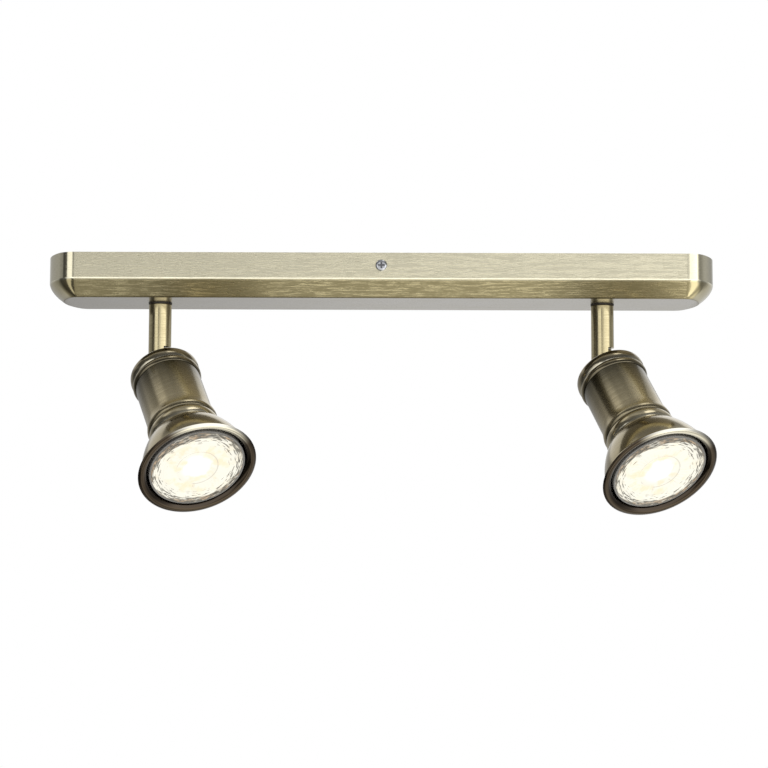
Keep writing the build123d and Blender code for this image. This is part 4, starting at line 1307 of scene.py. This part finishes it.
@dataclass
class Head:
    """The three turned shells of a head, measured from the tilt axis towards the lamp."""

    axes: SpotAxes
    spigot_hole: float = 5.05
    cap_back: float = 9.2
    cap_wall: float = 2.0
    cap_radius: float = 18.3
    cap_shoulder: float = 2.7
    cap_ring_end: float = 15.7
    cap_inner: float = 15.2
    cap_spigot: float = 4.4
    ring_rise: float = 0.85
    barrel_start: float = 19.6
    barrel_radius: float = 17.3
    barrel_inner: float = 15.9
    fit: float = 0.05
    flank_start: float = 46.5
    flank_end: float = 51.5
    flank_rise: float = 1.1
    shade_start: float = 54.3
    neck_spigot: float = 4.9
    neck_wall: float = 1.1
    bell_start: Point = (18.2, 60.3)
    bell_end: Point = (28.1, 80.6)
    bell_curve: float = 48.0
    bell_wall: float = 1.3
    rim: float = 84.5
    lip_radius: float = 30.6
    lip_edge: float = 0.8
    roll_inner: float = 25.8
    roll_depth: float = 2.0
    roll_crown: float = 28.7
    bell_steps: int = 40
    roll_steps: int = 24

    @property
    def groove(self) -> float:
        """Radius of the groove where barrel and bell meet."""
        return self.barrel_radius + self.flank_rise - self.ring_rise

    @property
    def neck_inner(self) -> float:
        """Radius of the way through the two spigots."""
        return self.barrel_inner - self.fit - self.neck_wall

    def cap(self) -> np.ndarray:
        """Section of the rear cap: a rounded shoulder, two rings and a spigot.

        Returns:
            Rows of radius and distance, in millimetres.
        """
        groove = self.cap_radius - self.ring_rise
        seat = self.barrel_inner - self.fit
        shoulder = (self.cap_radius - self.cap_shoulder, self.cap_back)
        shoulder_end = (self.cap_radius, self.cap_back + self.cap_shoulder)
        lean = self.cap_shoulder * math.sin(math.radians(45))
        middle = (shoulder[0] + lean, shoulder_end[1] - lean)
        end = self.barrel_start + self.cap_spigot
        return chain(
            straight((self.spigot_hole, self.cap_back)),
            arc_through(shoulder, middle, shoulder_end),
            bulge(shoulder_end, (groove, self.cap_ring_end), self.ring_rise / 2),
            bulge((groove, self.cap_ring_end), (groove, self.barrel_start), self.ring_rise),
            straight(
                (seat, self.barrel_start), (seat, end), (self.neck_inner, end), (self.neck_inner, self.barrel_start),
                (self.cap_inner, self.barrel_start - self.cap_inner + self.neck_inner),
                (self.cap_inner, self.cap_back + self.cap_wall), (self.spigot_hole, self.cap_back + self.cap_wall),
                (self.spigot_hole, self.cap_back),
            ),
        )

    def barrel(self) -> np.ndarray:
        """Section of the barrel: a plain tube with a flared ring at its front.

        Returns:
            Rows of radius and distance, in millimetres.
        """
        flank = (self.barrel_radius + self.flank_rise, self.flank_end)
        return chain(
            straight((self.barrel_inner, self.barrel_start), (self.barrel_radius, self.barrel_start)),
            straight((self.barrel_radius, self.flank_start), flank),
            bulge(flank, (self.groove, self.shade_start), self.ring_rise / 2),
            straight((self.barrel_inner, self.shade_start), (self.barrel_inner, self.barrel_start)),
        )

    def bell_arc(self, inset: float) -> list[Point]:
        """Start, middle and end of the bell's long curve, moved in from the outside.

        Args:
            inset: how far in; the curves share a centre.

        Returns:
            Three points.
        """
        start, end = np.array(self.bell_start), np.array(self.bell_end)
        chord = end - start
        span = float(np.linalg.norm(chord))
        rise = math.sqrt(self.bell_curve**2 - span**2 / 4)
        centre = (start + end) / 2 + rise * np.array([-chord[1], chord[0]]) / span
        first, last = (math.atan2(*(p - centre)[::-1]) for p in (start, end))
        reach = self.bell_curve - inset
        turns = (first, (first + last) / 2, last)
        return [(centre[0] + reach * math.cos(a), centre[1] + reach * math.sin(a)) for a in turns]

    def shade(self) -> np.ndarray:
        """Section of the bell: a ring, the long curve, the flared and rolled lip, and the inside.

        Returns:
            Rows of radius and distance, in millimetres.
        """
        outer, inner = self.bell_arc(0.0), self.bell_arc(self.bell_wall)
        seat = self.barrel_inner - self.fit
        corner = self.rim - self.lip_edge
        flare = ((self.bell_end[0] + self.lip_radius - self.lip_edge) / 2,
                 (self.bell_end[1] + corner + self.lip_edge) / 2)
        crown = (self.roll_crown, self.rim)
        roll = (self.roll_inner, self.rim - self.roll_depth)
        spigot = self.shade_start - self.neck_spigot
        return chain(
            bulge((self.groove, self.shade_start), self.bell_start, self.ring_rise),
            arc_through(*outer, self.bell_steps),
            arc_through(outer[2], flare, (self.lip_radius, corner)),
            arc_through((self.lip_radius, corner), crown, roll, self.roll_steps),
            straight(roll, inner[2]),
            arc_through(inner[2], inner[1], inner[0], self.bell_steps),
            straight(
                (self.neck_inner, self.bell_start[1] - self.neck_wall), (self.neck_inner, spigot), (seat, spigot),
                (seat, self.shade_start), (self.groove, self.shade_start),
            ),
        )

    def build(self) -> dict[str, bpy.types.Object]:
        """Builds the shells.

        Returns:
            The objects, by the node that each replaces.
        """
        sections = {"rear_cap": self.cap(), "barrel": self.barrel(), "shade": self.shade()}
        return {self.axes.node(name): lathe(self.axes, name, section) for name, section in sections.items()}


@dataclass
class Lamp:
    """A lamp: its flared housing and its moulded lens."""

    axes: SpotAxes
    face: float = 83.6
    base: float = 35.4
    base_radius: float = 13.2
    flare_start: float = 60.3
    rim_radius: float = 24.8
    rim_length: float = 3.8
    rim_edge: float = 0.3
    rim_edge_middle: float = 0.09
    rim_edge_steps: int = 6
    bulge: float = 1.0
    flare_steps: int = 30
    wall: float = 1.0
    chip_back: float = 62.6
    chip_front: float = 64.2
    chip_radius: float = 8.6
    lens_radius: float = 23.7
    lens_thickness: float = 2.0
    cone_front: float = 11.0
    cone_back: float = 7.5
    gap: float = 0.1
    dome_radius: float = 6.6
    dome_depth: float = 0.5
    cup_radius: float = 10.6
    cup_depth: float = 0.7
    cup_edge: float = 0.3
    facet_margin: float = 0.4
    facet_fade: float = 0.8
    facet_end: float = 16.6
    facet_count: int = 48
    facet_depth: float = 0.16
    ring_start: float = 17.4
    ring_margin: float = 0.6
    ring_count: int = 6
    ring_depth: float = 0.22
    steps: int = 288
    rows: int = 96
    back_map: tuple[float, ...] = (1.0, 0.5, 0.3, 0.0)  # the surface coordinate of the rows behind the front
    sharp_degrees: float = 40.0

    def housing(self) -> bpy.types.Object:
        """Builds the housing: a plain base, a flare, a rim and the light well behind the lens.

        Returns:
            The object.
        """
        rim_back = self.face - self.rim_length
        well = self.rim_radius - self.wall
        lens_back = self.face - self.lens_thickness
        flare_start = (self.base_radius, self.flare_start)
        flare = bulge(flare_start, (self.rim_radius, rim_back), self.bulge, self.flare_steps)
        middle = (self.rim_radius - self.rim_edge_middle, self.face - self.rim_edge_middle)
        edge = arc_through((self.rim_radius, self.face - self.rim_edge), middle,
                           (self.rim_radius - self.rim_edge, self.face), self.rim_edge_steps)
        section = chain(
            straight((0.0, self.base), (self.base_radius, self.base)), flare, edge,
            straight((well, self.face), (well, lens_back), (well - self.wall, lens_back),
                     (self.chip_radius, self.chip_front), (self.chip_radius, self.chip_back), (0.0, self.chip_back)),
        )
        return lathe(self.axes, "lamp_body", section)

    def lens(self) -> bpy.types.Object:
        """Builds the lens: t(r, a) = face - dome(r) - cup(r) - rings(r) - facets(r, a).

        The dome is a shallow parabola in the middle, the cup a cone round it, the rings sine waves near the edge,
        and the facets a ring of rounded spokes between them.

        Returns:
            The object. Its surface coordinates are the turn and the radius, both from 0 to 1.
        """
        radius = np.linspace(0, self.lens_radius, self.rows)
        dome = self.dome_depth * np.clip(radius / self.dome_radius, 0, 1) ** 2 * (radius <= self.dome_radius)
        cup_ends = [self.dome_radius, self.dome_radius + self.cup_edge, self.cup_radius - self.cup_edge,
                    self.cup_radius]
        cup = np.interp(radius, cup_ends, [0.0, self.cup_depth, self.cup_depth / 2, 0.0])
        ring_width = self.lens_radius - self.ring_margin - self.ring_start
        share = np.clip((radius - self.ring_start) / ring_width, 0, 1)
        rings = self.ring_depth * np.sin(share * self.ring_count * math.pi) ** 2
        angles = np.arange(self.steps) * math.tau / self.steps
        rising = np.clip((radius - self.cup_radius - self.facet_margin) / self.facet_fade, 0, 1)
        zone = rising * np.clip((self.facet_end - radius) / self.facet_fade, 0, 1)
        facets = self.facet_depth * zone[:, None] * np.abs(np.sin(angles * self.facet_count / 2))[None]
        front = np.stack([radius, self.face - dome - cup - rings], -1)
        back, tip = self.face - self.lens_thickness, self.chip_front + self.gap
        behind = straight((self.lens_radius, back), (self.cone_front, back), (self.cone_back, tip), (0.0, tip))
        profile = np.concatenate([front, behind])
        lift = np.zeros((len(profile), self.steps))
        lift[: self.rows] = -facets
        rows = np.concatenate([radius / self.lens_radius, self.back_map])
        surface_map = ring_map(rows, np.linspace(0, 1, self.steps + 1))
        skin = Skin()
        skin.add(self.axes.turned(profile, self.steps, lift), ring_quads(len(profile), self.steps), surface_map)
        return skin.piece(f"{self.axes.node('lamp_lens')}_surface", self.sharp_degrees)

    def build(self) -> dict[str, bpy.types.Object]:
        """Builds the lamp's two surfaces.

        Returns:
            The objects, by the node that each replaces.
        """
        return {self.axes.node("lamp_body"): self.housing(), self.axes.node("lamp_lens"): self.lens()}


@dataclass(frozen=True)
class Band:
    """One band of the ring that mirror surfaces see.

    The stops are pairs of degrees from the front, to the right, and brightness. The rise is the pair of elevations
    over which the band takes over from the one below it.
    """

    stops: tuple[Point, ...]
    rise: Point = (-90.0, -90.0)
    tint: Colour = (1.0, 1.0, 1.0)


@dataclass
class Studio:
    """White background, pale floor, soft light and a camera where the photograph was taken.

    Lengths are metres and angles are radians, apart from those of the bands.
    """

    eye: Place = (0.001553, -1.159117, -0.190221)
    pitch: float = 0.107257
    roll: float = 0.0030785
    focal_pixels: float = 2200.0
    image_pixels: float = 768.0
    sensor: float = 36.0  # millimetres
    clip: Point = (0.05, 50.0)
    floor_height: float = -0.55
    floor_half: float = 1.6
    key_place: Place = (0.65, -0.4, 1.3)
    key_target: Place = (0.0, 0.0, -0.06)
    key_size: Point = (1.0, 0.6)
    key_watts: float = 16.0
    fill: Colour = (0.5, 0.5, 0.5)
    white: Colour = (1.0, 1.0, 1.0)
    bands: tuple[Band, ...] = (
        Band(
            ((-180, 0.3), (-150, 0.4), (-120, 0.2), (-100, 0.05), (-66, 0.1), (-62, 0.8), (-40, 0.8), (-32, 0.03),
             (-20, 0.1), (-10, 1.3), (4, 0.65), (12, 0.8), (22, 0.6), (28, 1.5), (45, 1.9), (75, 1.9), (90, 0.7),
             (105, 0.6), (120, 1.2), (150, 1.2), (180, 0.3)),
            tint=(1.0, 0.96, 0.84),
        ),
        Band(
            ((-180, 0.75), (-170, 0.45), (-150, 0.5), (-134, 0.5), (-118, 0.3), (-100, 0.08), (-66, 0.1), (-47, 0.9),
             (-25, 1.3), (60, 1.7), (74, 0.7), (95, 0.25), (125, 0.35), (137, 0.8), (165, 0.75), (180, 0.75)),
            rise=(-52.0, -30.0),
        ),
        Band(
            ((-180, 0.8), (-162, 0.5), (-146, 0.4), (-120, 0.4), (-83, 0.3), (-74, 0.06), (-52, 0.08), (-46, 1.3),
             (-20, 1.4), (-14, 0.15), (-6, 0.3), (0, 0.9), (9, 0.85), (14, 1.5), (61, 2.0), (67, 0.9), (78, 0.25),
             (124, 0.5), (147, 0.35), (180, 0.8)),
            rise=(5.0, 7.5),
        ),
        Band(
            ((-180, 1.1), (-145, 0.9), (-128, 0.85), (-112, 0.5), (-95, 0.15), (60, 0.1), (100, 0.3), (125, 0.5),
             (140, 0.9), (152, 1.2), (180, 1.1)),
            rise=(12.0, 17.0),
        ),
        Band(
            ((-180, 0.2), (-130, 0.25), (-112, 0.6), (-95, 1.1), (-82, 1.2), (-68, 0.5), (-40, 0.2), (100, 0.3),
             (115, 0.7), (140, 0.7), (155, 0.4), (180, 0.2)),
            rise=(34.0, 40.0),
        ),
        Band(
            ((-180, 0.3), (-120, 0.3), (-80, 0.6), (20, 0.6), (32, 2.6), (85, 2.6), (95, 0.6), (140, 0.6), (180, 0.3)),
            rise=(54.0, 59.0),
        ),
        Band(((-180, 0.45), (0, 0.45), (30, 0.7), (90, 0.7), (120, 0.5), (180, 0.45)), rise=(74.0, 79.0)),
    )

    def camera(self) -> None:
        """Makes the camera: turned up by the pitch, then rolled."""
        ahead = Vector((0.0, math.cos(self.pitch), math.sin(self.pitch)))
        level = Vector((1.0, 0.0, 0.0))
        upright = Vector((0.0, -math.sin(self.pitch), math.cos(self.pitch)))
        right = math.cos(self.roll) * level + math.sin(self.roll) * upright
        up = math.cos(self.roll) * upright - math.sin(self.roll) * level
        data = bpy.data.cameras.new("studio_camera")
        data.sensor_width = self.sensor
        data.lens = self.sensor * self.focal_pixels / self.image_pixels
        data.clip_start, data.clip_end = self.clip
        camera = placed("studio_camera", data)
        turn = Matrix((right, up, -ahead)).transposed().to_4x4()
        camera.matrix_world = Matrix.Translation(Vector(self.eye)) @ turn
        bpy.context.scene.camera = camera

    def world(self) -> None:
        """Makes the world.

        Mirror and clear surfaces see the backdrop as a ring of bands, each with its own brightness by direction,
        and matt ones an even fill. To the camera the backdrop is white.
        """
        world = bpy.data.worlds.new("studio_world")
        bpy.context.scene.world = world
        world.use_nodes = True
        tree = Tree(world.node_tree)
        x, y, height = tree.parts(tree.add("ShaderNodeTexCoord").outputs["Generated"])
        turn = tree.math("ARCTAN2", x, tree.math("MULTIPLY", y, -1.0))
        share = tree.math("MULTIPLY_ADD", turn, 0.5 / math.pi, 0.5)
        ring = self.ramp(tree, share, self.bands[0])
        for band in self.bands[1:]:
            low, high = (math.sin(math.radians(angle)) for angle in band.rise)
            ring = tree.mix(tree.step(height, low, high), ring, self.ramp(tree, share, band))
        paths = tree.add("ShaderNodeLightPath").outputs
        mirrored = tree.math("MAXIMUM", paths["Is Glossy Ray"], paths["Is Transmission Ray"])
        shown = tree.mix(mirrored, self.fill, ring)
        shown = tree.mix(paths["Is Camera Ray"], shown, self.white)
        tree.fill(world.node_tree.nodes["Background"], {"Color": shown, "Strength": 1.0})

    @staticmethod
    def ramp(tree: Tree, share: Socket, band: Band) -> Socket:
        """Brightness by direction.

        Args:
            tree: the world's nodes.
            share: the direction round the object, from 0 to 1, with the front at 0.5.
            band: whose stops are used.

        Returns:
            The colour.
        """
        node = tree.add("ShaderNodeValToRGB", {0: share})
        ramp = node.color_ramp
        while len(ramp.elements) < len(band.stops):
            ramp.elements.new(0.5)
        for element, (degrees, value) in zip(ramp.elements, band.stops):
            element.position = 0.5 + degrees / 360
            element.color = (*(value * part for part in band.tint), 1.0)
        return node.outputs[0]

    def floor(self) -> None:
        """Makes the pale floor, below the camera's view."""
        reach, height = self.floor_half, self.floor_height
        mesh = bpy.data.meshes.new("studio_floor")
        signs = ((-1, -1), (1, -1), (1, 1), (-1, 1))
        mesh.from_pydata([(x * reach, y * reach, height) for x, y in signs], [], [(0, 1, 2, 3)])
        floor = placed("studio_floor", mesh)
        PALE_FLOOR.put_on(floor)
        floor.visible_glossy = False

    def light(self) -> None:
        """Makes the soft key light, above and to the right of the object."""
        data = bpy.data.lights.new("soft_key", "AREA")
        data.shape = "RECTANGLE"
        data.size, data.size_y = self.key_size
        data.energy = self.key_watts
        key = placed("soft_key", data)
        key.location = self.key_place
        key.rotation_mode = "QUATERNION"
        key.rotation_quaternion = (Vector(self.key_target) - Vector(self.key_place)).to_track_quat("-Z", "Y")
        key.visible_camera = False
        key.visible_glossy = False

    def build(self) -> None:
        """Builds the studio."""
        bpy.context.scene.view_settings.view_transform = "Standard"
        self.camera()
        self.world()
        self.floor()
        self.light()


@dataclass(frozen=True)
class Hardware:
    """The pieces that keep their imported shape, and their finishes."""

    finishes: tuple[tuple[Finish, tuple[str, ...]], ...] = (
        (SCREW_NICKEL, ("cover_screws",)),
        (ZINC, ("mounting_bracket", "terminal_screws", "terminal_fixing_screw", "stop_plate", "stop_washer",
                "stem_nut", "lug_nut", "holder_bracket", "holder_screws")),
        (SPRING_STEEL, ("spring_washer", "pivot_washer")),
        (DARK_STEEL, ("pivot_screw",)),
        (KNUCKLE_BRONZE, ("knuckle_lug",)),
        (CONTACT_BRASS, ("terminal_inserts", "earth_screw", "holder_contacts", "lamp_pins")),
        (BLACK_NYLON, ("foot_washer",)),
        (BLOCK_PLASTIC, ("terminal_block",)),
        (CERAMIC, ("lampholder",)),
        (CHIP_PHOSPHOR, ("lamp_led",)),
        (SLEEVE, ("stem_lead", "head_lead")),
        (BROWN, ("live_lead",)),
        (BLUE, ("neutral_lead",)),
        (GREEN, ("earth_lead",)),
    )

    def dress(self) -> None:
        """Puts each finish on its nodes."""
        for finish, names in self.finishes:
            for name in names:
                for node in (name, f"{name}_left", f"{name}_right"):
                    if node in frame["nodes"]:
                        finish.put_on(frame["nodes"][node])
                        log.info("%s: %s", node, finish.name)


def install(piece: bpy.types.Object, node: str, body: str, finish: Finish) -> None:
    """Dresses a surface and lets it stand for its node.

    Args:
        piece: the surface.
        node: the node that it replaces.
        body: what it moves with.
        finish: what it gets.
    """
    finish.put_on(piece)
    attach(piece, body)
    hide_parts(node)
    log.info("%s: %s on %s", piece.name, finish.name, body)


def main() -> None:
    """Builds the light piece by piece, then the studio."""
    logging.basicConfig(level=logging.INFO, format="%(name)s %(message)s")
    spots = [SpotAxes.of(side) for side in Side]
    finishes = {"rear_cap": SHADED_CAP_BRONZE, "shade": SHADE_BRONZE}
    install(BarCover().build(spots), "bar_cover", "base", BAR_BRASS)
    for axes in spots:
        install(Stem(axes).build(), axes.node("stem"), axes.node("arm"), STEM_BRASS)
        for node, piece in Head(axes).build().items():
            finish = finishes.get(node.rpartition("_")[0], HEAD_BRONZE)
            install(piece, node, axes.node("head"), finish)
        dressing = (("lamp_housing", LAMP_PLASTIC), ("lamp_lens", LENS))
        for (node, piece), (slot, finish) in zip(Lamp(axes).build().items(), dressing):
            install(piece, node, axes.node("lamp"), finish)
    Hardware().dress()
    Studio().build()


if __name__ == "__main__":
    main()
